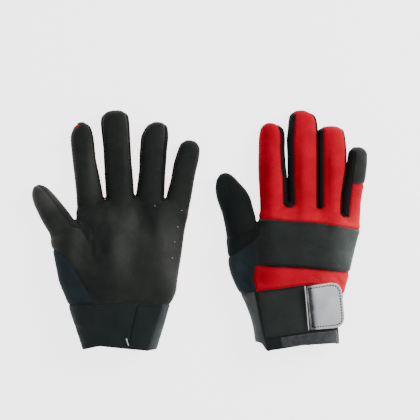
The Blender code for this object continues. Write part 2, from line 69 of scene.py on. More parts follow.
# ---- shapes of the two gloves ----
# up: 1 where the back faces up, -1 where the palm does.
# outline: y, thumb side x, little-finger side x. heights: y, palm z, back z.
# knuckles, mouth, wrists and bands: x, y. cuff_side and gussets: y, x.
# digits: height, length of the rounded tip, then reach from the joint, thumb side, other side.
# back_angles, palm_angles, thumb_seams: the turns round a digit between which its panels lie.
# thumb_edge: how far across the thumb's own panels reach, at THUMB_EDGE_REACH along it.
# split: how far the side seams stand off mid-height, at the thumb side, the other side and the cuff.
# webs: lowest y of the strips between the fingers.
GLOVE = {
    "left": {
        "up": -1.0,
        "outline": [(-130, -113, -47), (-119, -116.5, -43.5), (-95, -124.2, -36.2), (-75, -130.8, -30.4),
                    (-62, -136, -24.5), (-51, -140.3, -23.4), (-30, -144.5, -20), (-9, -148, -17),
                    (4, -123, -15), (17, -123.5, -13.2), (40, -122, -11.5)],
        "heights": [(-130, 41, 4.8), (-95, 40, 4.8), (-75, 37.5, 4.6), (-51, 36, 4.4), (-9, 32, 4.4),
                    (8, 28, 4.6), (18, 24.3, 4.2), (26, 21.0, 3.0), (40, 19, 2.0)],
        "knuckles": [(-130, 26.5), (-122, 28.3), (-104, 31.5), (-95.5, 35.0), (-87, 33.0), (-74, 33.5),
                     (-65.2, 36.6), (-56, 33.5), (-44, 32.0), (-35.5, 34.4), (-27, 31.0), (-12, 25.4)],
        "mouth": [(-125, -119), (-116.5, -119), (-100, -115), (-75, -117.4), (-52, -119.7), (-43.5, -118.6)],
        "palm_wrist": [(-130, -74.5), (-106, -73.2), (-62, -71.2), (-30, -74.2)],
        "back_wrist": [(-140, -60), (-85, -52.5), (-22, -63)],
        "band_low": [(-150, -33.5), (-20, -38)],
        "band_high": [(-150, 13), (-60, 7.5), (-10, 1.5)],
        "cuff_side": [(-120, -51.6), (-75, -37.3)],
        "gusset_palm": [(-74, -104), (-60, -112.6), (-43, -122.2), (-31, -129), (-20, -142), (-12, -160),
                        (8, -170)],
        "gusset_back": [(-74, -112), (-60, -124), (-33, -122), (0, -121), (8, -122)],
        "digits": {
            "index": (20.0, 6.0, ((-8, -14.4, 12.4), (12, -13.1, 11.9), (28, -12.6, 10.7), (40, -12.4, 10.1),
                                  (60, -11.6, 10.8), (67, -10.6, 10.4), (72, -7.8, 9.6), (78.8, -4.2, 5.8))),
            "middle": (21.0, 8.0, ((0, -13.4, 13.9), (20, -13.4, 13.8), (36, -13.0, 13.3), (46, -12.7, 13.5),
                                   (68, -13.5, 14.0), (76, -13.4, 13.6), (86.6, -11.6, 12.4))),
            "ring": (20.0, 5.0, ((0, -13.6, 13.8), (12, -12.8, 13.3), (28, -12.2, 12.8), (46, -13.1, 12.6),
                                 (60, -13.2, 13.2), (68, -10.2, 12.2), (75.9, -4.8, 10.2))),
            "little": (18.0, 8.0, ((-10, -11.2, 13.9), (4, -10.5, 13.0), (20, -9.9, 12.3), (36, -10.6, 11.9),
                                   (44, -10.4, 11.9), (54, -9.1, 11.2), (62.6, -7.0, 8.6))),
            "thumb": (23.0, 9.0, ((-12, -18.6, 16.0), (4, -14.5, 12.3), (12, -14.7, 11.6), (20, -14.6, 10.7),
                                  (28, -13.8, 9.6), (36, -13.1, 8.3), (44, -10.8, 6.3), (51.8, -7.4, 3.0))),
        },
        "back_angles": {"index": (32, 160), "middle": (32, 148), "ring": (32, 148), "little": (26, 148)},
        "palm_angles": {"index": (160, 336), "middle": (204, 336), "ring": (204, 322), "little": (204, 386)},
        "thumb_seams": (168, 304),
        "thumb_edge": (14.8, 14.8),
        "thumb_fillet": 6.0,
        "split": (4.6, 4.6, 6.0),
        "webs": (29.3, 31.7, 29.5),
    },
    "right": {
        "up": 1.0,
        "outline": [(-130, 58, 138), (-119.6, 57.2, 138), (-110.5, 55.8, 138.3), (-98, 53.9, 137.6),
                    (-87, 51, 138), (-73, 46, 141.5), (-57, 37, 144.5), (-44, 31.5, 148.4), (-33, 29, 150.8),
                    (-7, 27, 157.4), (2, 56, 159.6), (11, 59.5, 161), (40, 60, 162)],
        "heights": [(-130, 1.2, 40), (-98, 1.2, 39), (-73, 1.0, 36), (-57, 0.4, 35), (-33, 0.0, 33.5),
                    (-6, 0.0, 31), (5, 0.0, 28.5), (16, 0.0, 24), (24, 0.0, 21.2), (40, 0.0, 20)],
        "knuckles": [(40, 22.6), (78, 24.6), (88.5, 30.5), (99, 24.6), (105, 24.6), (121, 23.4), (143, 20.6),
                     (146, 13.0), (161.2, 11.7)],
        "mouth": [(50, -111.2), (58.5, -111.4), (62.5, -113.2), (65.5, -120.2), (103, -114), (135.7, -112.4),
                  (139, -113.7)],
        "palm_wrist": [(40, -74), (145, -74)],
        "back_wrist": [(40, -64), (56.6, -61), (111.4, -53.4), (142.7, -64.4)],
        "band_low": [(40, -34.9), (104.6, -38.2), (149.4, -42.5)],
        "band_high": [(50, 12.2), (60.7, 11.6), (118.2, 7.4), (159.6, 0.6)],
        "cuff_side": [(-118, 66.5), (-108, 64), (-62, 54)],
        "gusset_palm": [(-74, 66), (-60, 60), (-33, 52), (-12, 62), (0, 66), (8, 58)],
        "gusset_back": [(-74, 56), (-61, 56.6), (-49, 52.8), (-36, 55), (-5, 57), (8, 58.5)],
        "digits": {
            "index": (20.0, 6.0, ((-8, -13.2, 13.4), (8, -13.3, 13.9), (28, -14.7, 13.8), (42, -14.9, 11.9),
                                  (60, -14.5, 11.0), (68, -14.3, 11.4), (76, -13.3, 10.6), (80, -12.0, 8.8),
                                  (84.8, -9.6, 2.8))),
            "middle": (21.0, 6.0, ((0, -14.2, 14.9), (30, -15.2, 15.0), (52, -15.4, 15.0),
                                   (68, -16.1, 15.0), (76, -15.1, 14.7), (86, -14.2, 13.6),
                                   (92, -13.0, 11.6), (97.2, -10.6, 4.6))),
            "ring": (20.0, 5.0, ((-10, -13.3, 9.4), (8, -13.3, 10.0), (22, -13.3, 12.2),
                                 (40, -13.3, 15.6), (55, -13.1, 15.8), (70, -12.9, 15.0),
                                 (77, -12.2, 13.6), (81.2, -9.5, 10.5))),
            "little": (21.0, 6.0, ((-10, -12.4, 6.3), (10, -12.7, 5.7), (24, -12.5, 6.4), (42, -10.7, 8.5),
                                   (54, -10.3, 8.9), (64, -9.7, 8.1), (70, -8.0, 5.5))),
            "thumb": (24.0, 8.0, ((-12, -16.8, 17.0), (4, -14.9, 16.6), (20, -13.9, 16.4), (28, -14.7, 16.3),
                                  (36, -15.4, 14.3), (44, -14.7, 10.4), (50, -12.6, 7.0), (58.4, -9.0, 2.6))),
        },
        "back_angles": {"index": (51, 192), "middle": (26, 122), "ring": (20, 122), "little": (-14, 98)},
        "palm_angles": {"index": (192, 328), "middle": (212, 328), "ring": (212, 328), "little": (212, 346)},
        "thumb_seams": (184, 340),
        "thumb_edge": (13.6, 17.6),
        "thumb_fillet": 3.5,
        "split": (-2.7, -2.7, -2.5),
        "webs": (22.8, 21.8, 13.4),
    },
}
HAND_POWER = 3.0
CUFF_POWER = 2.4
DIGIT_POWER = 2.4
ROOT_DEPTH = 16.0      # how far a digit's shape reaches back into the hand
KNUCKLE_FALL = 9.0     # length over which the hand rounds off at the knuckles
KNUCKLE_BACK = 2.5     # how far short of the knuckle line the hand itself ends
FINGER_FILLET = 3.0
SWELL = 0.3            # the skins stand this far outside the measured outlines
THUMB_EDGE_REACH = (-14.0, -5.0)
DIGIT_SMOOTHING = 1.6
# The lines that panels follow, with the width over which each is smoothed.
LINES = {"knuckles": 1.2, "mouth": 1.2, "palm_wrist": 2.5, "back_wrist": 2.5, "band_low": 2.5,
         "band_high": 2.5, "gusset_palm": 3.0, "gusset_back": 3.0, "cuff_side": 3.0}


def joint_named(name):
    for joint in frame["joints"]:
        if joint["name"] == name:
            return joint
    raise KeyError(name)


def smooth_table(rows, column, sigma=3.0):
    """A function of the first column that passes softly through a column of a short table."""
    keys = np.array([row[0] for row in rows], float)
    values = np.array([row[column] for row in rows], float)
    fine = np.arange(keys[0] - 20.0, keys[-1] + 20.0, 0.5)
    line = np.interp(fine, keys, values)
    reach = int(6 * sigma)
    kernel = np.exp(-0.5 * (np.arange(-reach, reach + 1) * 0.5 / sigma) ** 2)
    kernel /= kernel.sum()
    line = np.convolve(np.pad(line, reach, mode="edge"), kernel, mode="valid")
    return lambda t: np.interp(t, fine, line)


class Digit:
    """One digit: its root and directions come from its joint, its length from its CAD panels."""

    def __init__(self, side, name):
        joint = joint_named(f"{side}_{name}_fold")
        self.height, self.cap, outline = GLOVE[side]["digits"][name]
        self.x, self.y = (value / MM for value in joint["pos_m"][:2])
        across = np.array(joint["axis"][:2], float)
        self.across = across * math.copysign(1.0, across[0])
        self.along = np.array((-self.across[1], self.across[0]))
        self.low = smooth_table(outline, 1, DIGIT_SMOOTHING)
        self.high = smooth_table(outline, 2, DIGIT_SMOOTHING)
        self.length = outline[-1][0]
        self.width = outline[0][2] - outline[0][1]
        self.middle = self.height / 2.0
        self.up = GLOVE[side]["up"]

    def local(self, points):
        x = points[:, 0] - self.x
        y = points[:, 1] - self.y
        reach = x * self.along[0] + y * self.along[1]
        aside = x * self.across[0] + y * self.across[1]
        rise = (points[:, 2] - self.middle) * self.up
        return reach, aside, rise

    def across_share(self, reach, aside):
        """Where a point lies across the digit: -1 on its thumb side, 1 on its other side."""
        low = self.low(reach)
        high = self.high(reach)
        return (aside - (low + high) / 2.0) / ((high - low) / 2.0)

    def half_height(self, reach):
        """The digit thins towards its tip as it narrows."""
        half = self.length / 2.0
        width = self.high(reach) - self.low(reach)
        widest = self.high(half) - self.low(half)
        return self.height / 2.0 * np.where(reach > half, np.minimum(width / widest, 1.0) ** 0.5, 1.0)

    def angle(self, points):
        """Turn round the digit: 0 on its little-finger side, 90 on its back, 270 on its palm."""
        reach, aside, rise = self.local(points)
        power = DIGIT_POWER / 2.0
        run = self.across_share(reach, aside)
        lift = rise / self.half_height(reach)
        return np.degrees(np.arctan2(np.copysign(np.abs(lift) ** power, lift),
                                     np.copysign(np.abs(run) ** power, run))) % 360.0

    def point(self, reach, aside, z):
        place = np.array((self.x, self.y)) + self.along * reach + self.across * aside
        return np.array((place[0], place[1], z))


def distance_of(parts, power):
    """Distance estimate of a superellipsoid: parts are (coordinate, radius) pairs."""
    total = sum(np.abs(c / r) ** power for c, r in parts)
    total = np.maximum(total, 1e-6)
    level = total ** (1.0 / power)
    slope = 0.0
    for c, r in parts:
        slope = slope + (total ** (1.0 / power - 1.0) * np.abs(c / r) ** (power - 1.0) / r) ** 2
    return (level - 1.0) / np.sqrt(np.maximum(slope, 1e-8))


def smooth_min(a, b, k):
    h = np.clip(0.5 + 0.5 * (b - a) / k, 0.0, 1.0)
    return b * (1.0 - h) + a * h - k * h * (1.0 - h)


class Body:
    """The soft shape of one glove, as distance fields, with the lines that its panels follow."""

    def __init__(self, side):
        self.side = side
        data = GLOVE[side]
        self.data = data
        self.up = data["up"]
        self.low_x = smooth_table(data["outline"], 1)
        self.high_x = smooth_table(data["outline"], 2)
        self.palm_z = smooth_table(data["heights"], 1)
        self.back_z = smooth_table(data["heights"], 2)
        self.lines = {name: smooth_table(data[name], 1, sigma) for name, sigma in LINES.items()}
        self.knuckles = self.lines["knuckles"]
        self.digits = {name: Digit(side, name) for name in DIGITS}

    def middle(self, y):
        return (self.palm_z(y) + self.back_z(y)) / 2.0

    def hand(self, points):
        x, y, z = points.T
        low = self.low_x(y)
        high = self.high_x(y)
        thick = np.abs(self.back_z(y) - self.palm_z(y)) / 2.0
        power = np.interp(y, (-75.0, -40.0), (CUFF_POWER, HAND_POWER))
        end = (y - (self.knuckles(x) - KNUCKLE_BACK - KNUCKLE_FALL)) / KNUCKLE_FALL
        parts = [(x - (low + high) / 2.0, (high - low) / 2.0), (z - self.middle(y), thick),
                 (np.maximum(end, 0.0) * KNUCKLE_FALL, KNUCKLE_FALL)]
        return distance_of(parts, power) - SWELL

    def digit(self, name, points):
        digit = self.digits[name]
        reach, aside, rise = digit.local(points)
        low, high = digit.low(reach), digit.high(reach)
        tip = np.maximum(reach - (digit.length - digit.cap), 0.0)
        parts = [(aside - (low + high) / 2.0, (high - low) / 2.0), (rise, digit.half_height(reach)),
                 (tip, digit.cap)]
        field = distance_of(parts, DIGIT_POWER)
        return np.maximum(field, -ROOT_DEPTH - reach) - SWELL

    def field(self, points, name=None):
        """Distance to one digit joined to the hand, or to the whole glove if none is named."""
        hand = self.hand(points)
        best = None
        for digit in DIGITS if name is None else (name,):
            fillet = self.data["thumb_fillet"] if digit == "thumb" else FINGER_FILLET
            joined = smooth_min(self.digit(digit, points), hand, fillet)
            best = joined if best is None else np.minimum(best, joined)
        return best

    def owner(self, points):
        """Which finger a point past the knuckle line is nearest to."""
        fields = np.stack([self.digit(name, points) for name in FINGERS])
        return fields.argmin(axis=0)


def unit_rows(vectors):
    """The vectors, one to a row, brought to a length of 1."""
    return vectors / np.maximum(np.linalg.norm(vectors, axis=1, keepdims=True), 1e-12)


def gradient(function, points, step=0.05):
    result = np.empty_like(points)
    for axis in range(3):
        shift = np.zeros(3)
        shift[axis] = step
        result[:, axis] = (function(points + shift) - function(points - shift)) / (2.0 * step)
    return result


def surface_nets(function, low, high, cell=CELL):
    """Vertices and triangles of the surface where a field is zero, on a grid that all meshes share."""
    first = np.floor(np.array(low) / cell).astype(int)
    last = np.ceil(np.array(high) / cell).astype(int)
    shape = last - first + 1
    axes = [np.arange(first[k], last[k] + 1) * cell for k in range(3)]
    grid = np.stack(np.meshgrid(*axes, indexing="ij"), axis=-1).reshape(-1, 3)
    value = np.concatenate([function(part) for part in np.array_split(grid, 8)]).reshape(shape)
    cells = shape - 1
    total = np.zeros((cells.prod(), 3))
    count = np.zeros(cells.prod())
    strides = np.array((cells[1] * cells[2], cells[2], 1))
    faces = []
    for axis in range(3):
        a = np.moveaxis(np.moveaxis(value, axis, 0)[:-1], 0, axis)
        b = np.moveaxis(np.moveaxis(value, axis, 0)[1:], 0, axis)
        index = np.argwhere((a < 0.0) != (b < 0.0))
        va = a[tuple(index.T)]
        vb = b[tuple(index.T)]
        place = index.astype(float)
        place[:, axis] += va / (va - vb)
        one, two = (axis + 1) % 3, (axis + 2) % 3
        inside = (index[:, one] > 0) & (index[:, two] > 0)
        inside &= (index[:, one] < cells[one]) & (index[:, two] < cells[two])
        index, place, va = index[inside], place[inside], va[inside]
        corners = []
        for d1, d2 in ((1, 1), (0, 1), (0, 0), (1, 0)):
            corner = index.copy()
            corner[:, one] -= d1
            corner[:, two] -= d2
            ids = corner @ strides
            np.add.at(total, ids, place)
            np.add.at(count, ids, 1.0)
            corners.append(ids)
        quad = np.stack(corners, axis=1)
        quad[va >= 0.0] = quad[va >= 0.0][:, ::-1]
        faces.append(quad)
    used = np.flatnonzero(count)
    points = (total[used] / count[used, None] + first) * cell
    lookup = np.full(cells.prod(), -1)
    lookup[used] = np.arange(len(used))
    quads = lookup[np.concatenate(faces)]
    for _ in range(3):
        slope = gradient(function, points)
        step = function(points)[:, None] * slope / np.maximum((slope ** 2).sum(1), 0.05)[:, None]
        length = np.linalg.norm(step, axis=1, keepdims=True)
        points = points - step * np.minimum(1.0, 0.5 * cell / np.maximum(length, 1e-9))
    diagonal = np.linalg.norm(points[quads[:, 0]] - points[quads[:, 2]], axis=1)
    other = np.linalg.norm(points[quads[:, 1]] - points[quads[:, 3]], axis=1)
    flip = other < diagonal
    straight = quads[~flip]
    turned = quads[flip]
    triangles = np.concatenate([straight[:, (0, 1, 2)], straight[:, (0, 2, 3)],
                                turned[:, (0, 1, 3)], turned[:, (1, 2, 3)]])
    return points, triangles


def cut_by_label(points, triangles, label_of, snap=0.12):
    """Split a mesh along the lines where its label changes. Returns points, triangles, a label for
    each triangle, and the border's points with the two labels they part."""
    labels = label_of(points)
    edges = np.concatenate([triangles[:, (0, 1)], triangles[:, (1, 2)], triangles[:, (2, 0)]])
    edges.sort(axis=1)
    mixed = edges[labels[edges[:, 0]] != labels[edges[:, 1]]]
    mixed = np.unique(mixed, axis=0)
    a, b = points[mixed[:, 0]], points[mixed[:, 1]]
    start = labels[mixed[:, 0]]
    low = np.zeros(len(mixed))
    high = np.ones(len(mixed))
    for _ in range(12):
        half = (low + high) / 2.0
        same = label_of(a + (b - a) * half[:, None]) == start
        low = np.where(same, half, low)
        high = np.where(same, high, half)
    share = (low + high) / 2.0
    border = a + (b - a) * share[:, None]
    cut_points = a + (b - a) * np.clip(share, snap, 1.0 - snap)[:, None]
    count = len(points)
    key = mixed[:, 0].astype(np.int64) * count + mixed[:, 1]
    order = np.argsort(key)
    sorted_key = key[order]

    def cut_id(u, v):
        low_id = np.minimum(u, v).astype(np.int64)
        high_id = np.maximum(u, v)
        return count + order[np.searchsorted(sorted_key, low_id * count + high_id)]

    corner = labels[triangles]
    same01 = corner[:, 0] == corner[:, 1]
    same12 = corner[:, 1] == corner[:, 2]
    same20 = corner[:, 2] == corner[:, 0]
    whole = same01 & same12
    out = [triangles[whole]]
    out_labels = [corner[whole, 0]]
    for lone, pair in ((0, same12 & ~same01), (1, same20 & ~same01), (2, same01 & ~same12)):
        t = np.roll(triangles[pair], -lone, axis=1)
        c = np.roll(corner[pair], -lone, axis=1)
        if len(t) == 0:
            continue
        ab, ac = cut_id(t[:, 0], t[:, 1]), cut_id(t[:, 0], t[:, 2])
        out += [np.stack((t[:, 0], ab, ac), 1), np.stack((ab, t[:, 1], t[:, 2]), 1),
                np.stack((ab, t[:, 2], ac), 1)]
        out_labels += [c[:, 0], c[:, 1], c[:, 1]]
    three = ~(same01 | same12 | same20)
    t, c = triangles[three], corner[three]
    centre_points = points[t].mean(axis=1)
    centre = count + len(cut_points) + np.arange(len(t))
    if len(t):
        ab, bc, ca = cut_id(t[:, 0], t[:, 1]), cut_id(t[:, 1], t[:, 2]), cut_id(t[:, 2], t[:, 0])
        for k, (first, second) in enumerate(((ab, ca), (bc, ab), (ca, bc))):
            out += [np.stack((t[:, k], first, centre), 1), np.stack((t[:, k], centre, second), 1)]
            out_labels += [c[:, k], c[:, k]]
    all_points = np.concatenate([points, cut_points, centre_points])
    pair_labels = np.stack((labels[mixed[:, 0]], labels[mixed[:, 1]]), axis=1)
    return all_points, np.concatenate(out), np.concatenate(out_labels), border, pair_labels


# ---- panels ----
DROPPED = -1           # past the knuckle line, or another digit's
THUMB_PART = -2        # the thumb, seen from the hand's mesh; the hand, seen from the thumb's
BEYOND_MOUTH = -3
HAND_PANELS = ("palm_panel", "back_panel", "knuckle_cover", "lower_back_panel", "thumb_gusset",
               "cuff_back", "cuff_palm", "crotch_leaf", "web_strips", "cuff_side")
DIGIT_PANELS = ("palm", "back", "fourchette_little_side", "fourchette_thumb_side", "tip_panel")
HAND = {panel: number for number, panel in enumerate(HAND_PANELS)}
DIGIT = {panel: number for number, panel in enumerate(DIGIT_PANELS)}
TIP_SPLIT = 0.47       # share of the little finger's length at which its grey tip panel begins
CLOSE_SHARE = 0.9      # how much of a side panel's width closes up, and over how much of the tip
GUSSET_ABOVE_THUMB = 6.0
PEEK = (-123.3, 104.6, 1.7)    # where the left index's back shows past its tip: x, y, radius


def smooth_step(value, low, high):
    t = np.clip((value - low) / (high - low), 0.0, 1.0)
    return t * t * (3.0 - 2.0 * t)


# The pointed reinforcement that runs from the thumb's crotch into the palm, in plan.
LEAF = {
    "left": ((-127, 12), (-121, 9.5), (-113, 6.5), (-108.2, 1.0), (-106.8, -6.0), (-108.5, -13.0),
             (-112, -9.5), (-120, -2.0), (-126, 4.0)),
    "right": ((57, 6), (62, 4), (68, 1), (72, -4), (73, -9), (72, -14), (68, -10), (61, -4), (56, 1)),
}


def in_outline(outline, x, y):
    """Even-odd test against a closed polygon in plan."""
    inside = np.zeros(len(x), bool)
    for (ax, ay), (bx, by) in zip(outline, outline[1:] + outline[:1]):
        crosses = (ay > y) != (by > y)
        inside ^= crosses & (x < ax + (bx - ax) * (y - ay) / (by - ay if by != ay else 1.0))
    return inside


def in_thumb(body, points):
    reach, aside, rise = body.digits["thumb"].local(points)
    back_edge = -17.6 + np.where(aside > 0.0, 0.45, 0.3) * aside
    palm_edge = -20.0 - 0.4 * aside
    edge = np.where(rise > 0.0, back_edge, palm_edge)
    return (reach > edge) & (aside < np.interp(reach, THUMB_EDGE_REACH, body.data["thumb_edge"]))


def back_side(body, points):
    """Whether a point of the hand lies on the back's side of its side seams."""
    x, y, z = points.T
    thumb_side, little_side, low = body.data["split"]
    across = np.clip((x - body.low_x(y)) / (body.high_x(y) - body.low_x(y)), 0.0, 1.0)
    high = thumb_side + (little_side - thumb_side) * across
    shift = high + (low - high) * smooth_step(-y, 0.0, 50.0)
    return (z - body.middle(y)) * body.up > shift


def strip_edge(body, name, back, turn):
    """Where a finger's lengthwise seams run across its root, on its back and on its palm."""
    digit = body.digits[name]
    low, high = digit.low(0.0), digit.high(0.0)
    edges = []
    for angle in (body.data["back_angles"][name][turn], body.data["palm_angles"][name][1 - turn]):
        level = math.cos(math.radians(angle))
        run = math.copysign(abs(level) ** (2.0 / DIGIT_POWER), level)
        edges.append(digit.x + (low + high) / 2.0 + run * (high - low) / 2.0)
    return np.where(back, *edges)


def in_web(body, points):
    """Whether a place lies in the rounded lower end of one of the strips between the fingers."""
    x, y, z = points.T
    back = (z - body.middle(y)) * body.up > 0.0
    result = np.zeros(len(points), bool)
    for first, second, bottom in zip(FINGERS, FINGERS[1:], body.data["webs"]):
        start = strip_edge(body, first, back, 0)
        end = strip_edge(body, second, back, 1)
        half = np.maximum((end - start) / 2.0, 0.5)
        share = np.abs(x - (start + end) / 2.0) / half
        result |= (share < 1.0) & (y > bottom + half * (1.0 - np.sqrt(np.maximum(1.0 - share ** 2, 0.0))))
    return result


def hand_label(body, points):
    x, y, _ = points.T
    back = back_side(body, points)
    lines = body.lines
    result = np.where(back, HAND["back_panel"], HAND["palm_panel"])
    result[back & (y < lines["band_high"](x))] = HAND["knuckle_cover"]
    result[back & (y < lines["band_low"](x))] = HAND["lower_back_panel"]
    gusset = np.where(back, x < lines["gusset_back"](y), x < lines["gusset_palm"](y))
    gusset &= y < body.digits["thumb"].y + GUSSET_ABOVE_THUMB
    result[gusset] = HAND["thumb_gusset"]
    result[back & (y < lines["back_wrist"](x))] = HAND["cuff_back"]
    result[~back & (y < lines["palm_wrist"](x))] = HAND["cuff_palm"]
    upper_cuff = result == (HAND["cuff_back"] if body.up > 0.0 else HAND["cuff_palm"])
    result[upper_cuff & ((x - lines["cuff_side"](y)) * body.up < 0.0)] = HAND["cuff_side"]
    result[~back & in_outline(LEAF[body.side], x, y)] = HAND["crotch_leaf"]
    result[in_web(body, points)] = HAND["web_strips"]
    result[in_thumb(body, points)] = THUMB_PART
    result[y > body.knuckles(x)] = DROPPED
    result[y < lines["mouth"](x)] = BEYOND_MOUTH
    return result


def digit_label(body, name, points):
    digit = body.digits[name]
    angle = digit.angle(points)
    if name == "thumb":
        outer, inner = body.data["thumb_seams"]
        result = np.where((angle > outer) & (angle < inner), DIGIT["palm"], DIGIT["back"])
        result[~in_thumb(body, points)] = THUMB_PART
        return result
    reach, aside, _ = digit.local(points)
    close = 1.0 - CLOSE_SHARE * smooth_step(reach, digit.length - CLOSE_SHARE * digit.cap, digit.length)
    a0, a1 = body.data["back_angles"][name]
    p0, p1 = body.data["palm_angles"][name]
    near = (a0 + p1 - 360.0) / 2.0
    far = (a1 + p0) / 2.0
    a0, p1 = near + (a0 - near) * close, near + (p1 - 360.0 - near) * close + 360.0
    a1, p0 = far + (a1 - far) * close, far + (p0 - far) * close
    turned = (angle - a0) % 360.0
    result = np.full(len(points), DIGIT["fourchette_little_side"])
    result[turned < (p1 - a0)] = DIGIT["palm"]
    result[turned < (p0 - a0)] = DIGIT["fourchette_thumb_side"]
    result[turned < (a1 - a0)] = DIGIT["back"]
    if name == "little":
        tip = (result == DIGIT["back"]) & (reach > TIP_SPLIT * digit.length + 0.08 * aside)
        result[tip] = DIGIT["tip_panel"]
    if name == "index" and body.side == "left":
        x, y, radius = PEEK
        result[np.hypot(points[:, 0] - x, points[:, 1] - y) < radius] = DIGIT["back"]
    result[points[:, 1] < body.knuckles(points[:, 0])] = DROPPED
    result[body.owner(points) != FINGERS.index(name)] = DROPPED
    return result


# ---- sculpting ----
BAND_HEIGHT = 3.4      # how far the knuckle cover stands above the back
BAND_SHOULDER = 3.0
BAND_SIDE_FADE = 13.0  # it falls off over this length towards its short edges
RIM = 0.35             # height of the band's sewn rim
RIM_PLACE = 2.9
RIM_WIDTH = 0.8
HAND_RIPPLE = 0.6
DIGIT_RIPPLE = 0.45

# Folds: from, to, on the palm or the back, depth (negative stands proud) and width.
CREASES = {
    "left": [
        ((-66.5, 26), (-58, -30), "palm", -1.5, 8.0),
        ((-94, 20), (-97, -36), "palm", 1.5, 8.0),
        ((-103, 24), (-106, 4), "palm", -0.6, 5.0),
        ((-99, 12), (-103, -6), "palm", 0.5, 2.2),
        ((-108, -13), (-108, -25), "palm", 1.1, 2.4),
        ((-104, -14), (-96, -34), "palm", -0.7, 4.0),
        ((-120, -8), (-117, -42), "palm", -1.0, 6.0),
        ((-128, 0), (-124, -36), "palm", 0.6, 4.0),
        ((-94, 24), (-70, 26), "palm", 0.7, 2.6),
        ((-66, 30), (-47, 22), "palm", 0.7, 3.0),
        ((-47, 22), (-36, 28), "palm", 0.5, 2.4),
        ((-57, 16), (-46, -8), "palm", 0.9, 5.0),
        ((-34, 24), (-50, -20), "palm", -0.5, 5.0),
        ((-96, -58), (-70, -64), "palm", 0.5, 4.0),
        ((-52, -30), (-30, -58), "palm", -0.5, 8.0),
        ((-124, -96), (-116, -99.5), "palm", 0.9, 2.2),
        ((-127, -74), (-113, -82), "palm", 0.4, 3.0),
    ],
    "right": [
        ((90, 20), (86, 8), "back", 0.6, 3.0),
        ((119, 20), (121, 8), "back", 0.6, 3.0),
        ((145, 14), (143, 4), "back", 0.5, 3.0),
        ((68, 22), (66, 13), "back", 0.4, 3.0),
        ((104, 22), (104, 12), "back", -0.4, 5.0),
        ((112, -47), (122, -53), "back", 0.5, 2.4),
        ((132, -46), (143, -56), "back", 0.8, 2.0),
        ((60, -50), (72, -56), "back", 0.4, 2.5),
        ((36, -44), (50, -60), "back", 0.8, 3.0),
        ((30, -30), (46, -36), "back", 0.7, 3.0),
        ((40, -62), (50, -74), "back", 0.7, 2.5),
        ((100, -116), (128, -104), "back", 0.4, 2.5),
    ],
}
# Bend marks across each digit, as shares of its length, with their depths.
DIGIT_BENDS = ((0.38, 0.2), (0.69, 0.14))


# Long waves of worn cloth: their rates along x, y and z, phase and height.
WAVES = ((0.071, 0.052, 0.09, 0.0, 0.34), (-0.113, 0.087, 0.11, 1.7, 0.22), (0.19, 0.151, -0.13, 4.1, 0.13),
         (0.043, -0.164, 0.17, 2.6, 0.18), (-0.29, 0.11, 0.21, 0.9, 0.07))


def ripple(points):
    """Soft unevenness of worn cloth, the same for every mesh of a glove."""
    x, y, z = points.T
    total = 0.0
    for wx, wy, wz, phase, size in WAVES:
        bend = 2.0 * np.sin(y * 0.031 + phase) + 1.5 * np.sin(x * 0.043 + 2.0 * phase)
        total = total + size * np.sin(x * wx + y * wy + z * wz + phase + bend)
    return total


def crease(points, start, end, width):
    """1 on a line in plan, falling off over its width and towards its ends."""
    a, b = np.array(start, float), np.array(end, float)
    span = b - a
    place = ((points[:, :2] - a) @ span) / (span @ span)
    place = np.clip(place, 0.0, 1.0)
    wander = 0.08 * np.linalg.norm(span) * np.sin(place * 5.0 + a[0])
    side = np.array((-span[1], span[0])) / np.linalg.norm(span)
    offset = points[:, :2] - (a + place[:, None] * span)
    away = np.linalg.norm(offset - side * (wander * np.sin(np.pi * place))[:, None], axis=1)
    fade = np.sin(np.pi * np.clip(0.08 + 0.84 * place, 0.0, 1.0)) ** 0.6
    return np.exp(-(away / width) ** 2) * fade - 0.35 * np.exp(-((away - 1.9 * width) / width) ** 2) * fade


def sculpt(body, points, normals, key):
    """How far each point moves along its normal: unevenness, folds and bend marks."""
    move = ripple(points) * (HAND_RIPPLE if key == "hand" else DIGIT_RIPPLE)
    facing = normals[:, 2] * body.up
    weights = {"back": smooth_step(facing, -0.2, 0.4), "palm": smooth_step(-facing, -0.2, 0.4)}
    for start, end, face, depth, width in CREASES[body.side]:
        move -= depth * weights[face] * crease(points, start, end, width)
    inner = 0.15 + 0.85 * smooth_step(-facing, -0.1, 0.5)
    for label, digit in body.digits.items():
        reach, aside, rise = digit.local(points)
        near = smooth_step(digit.width * 0.75 - np.abs(aside), 0.0, 3.0)
        if label == "thumb":
            near = near * smooth_step(reach, -4.0, 6.0)
        for share, depth in DIGIT_BENDS:
            bow = 1.6 * np.cos(aside * 0.16) * body.up * np.sign(rise)
            along = reach - share * digit.length - bow + 0.5 * np.sin(aside * 0.5 + share * 20.0)
            mark = np.exp(-(along / 1.6) ** 2) - 0.45 * np.exp(-((np.abs(along) - 3.2) / 1.8) ** 2)
            move -= depth * near * inner * mark
    return move


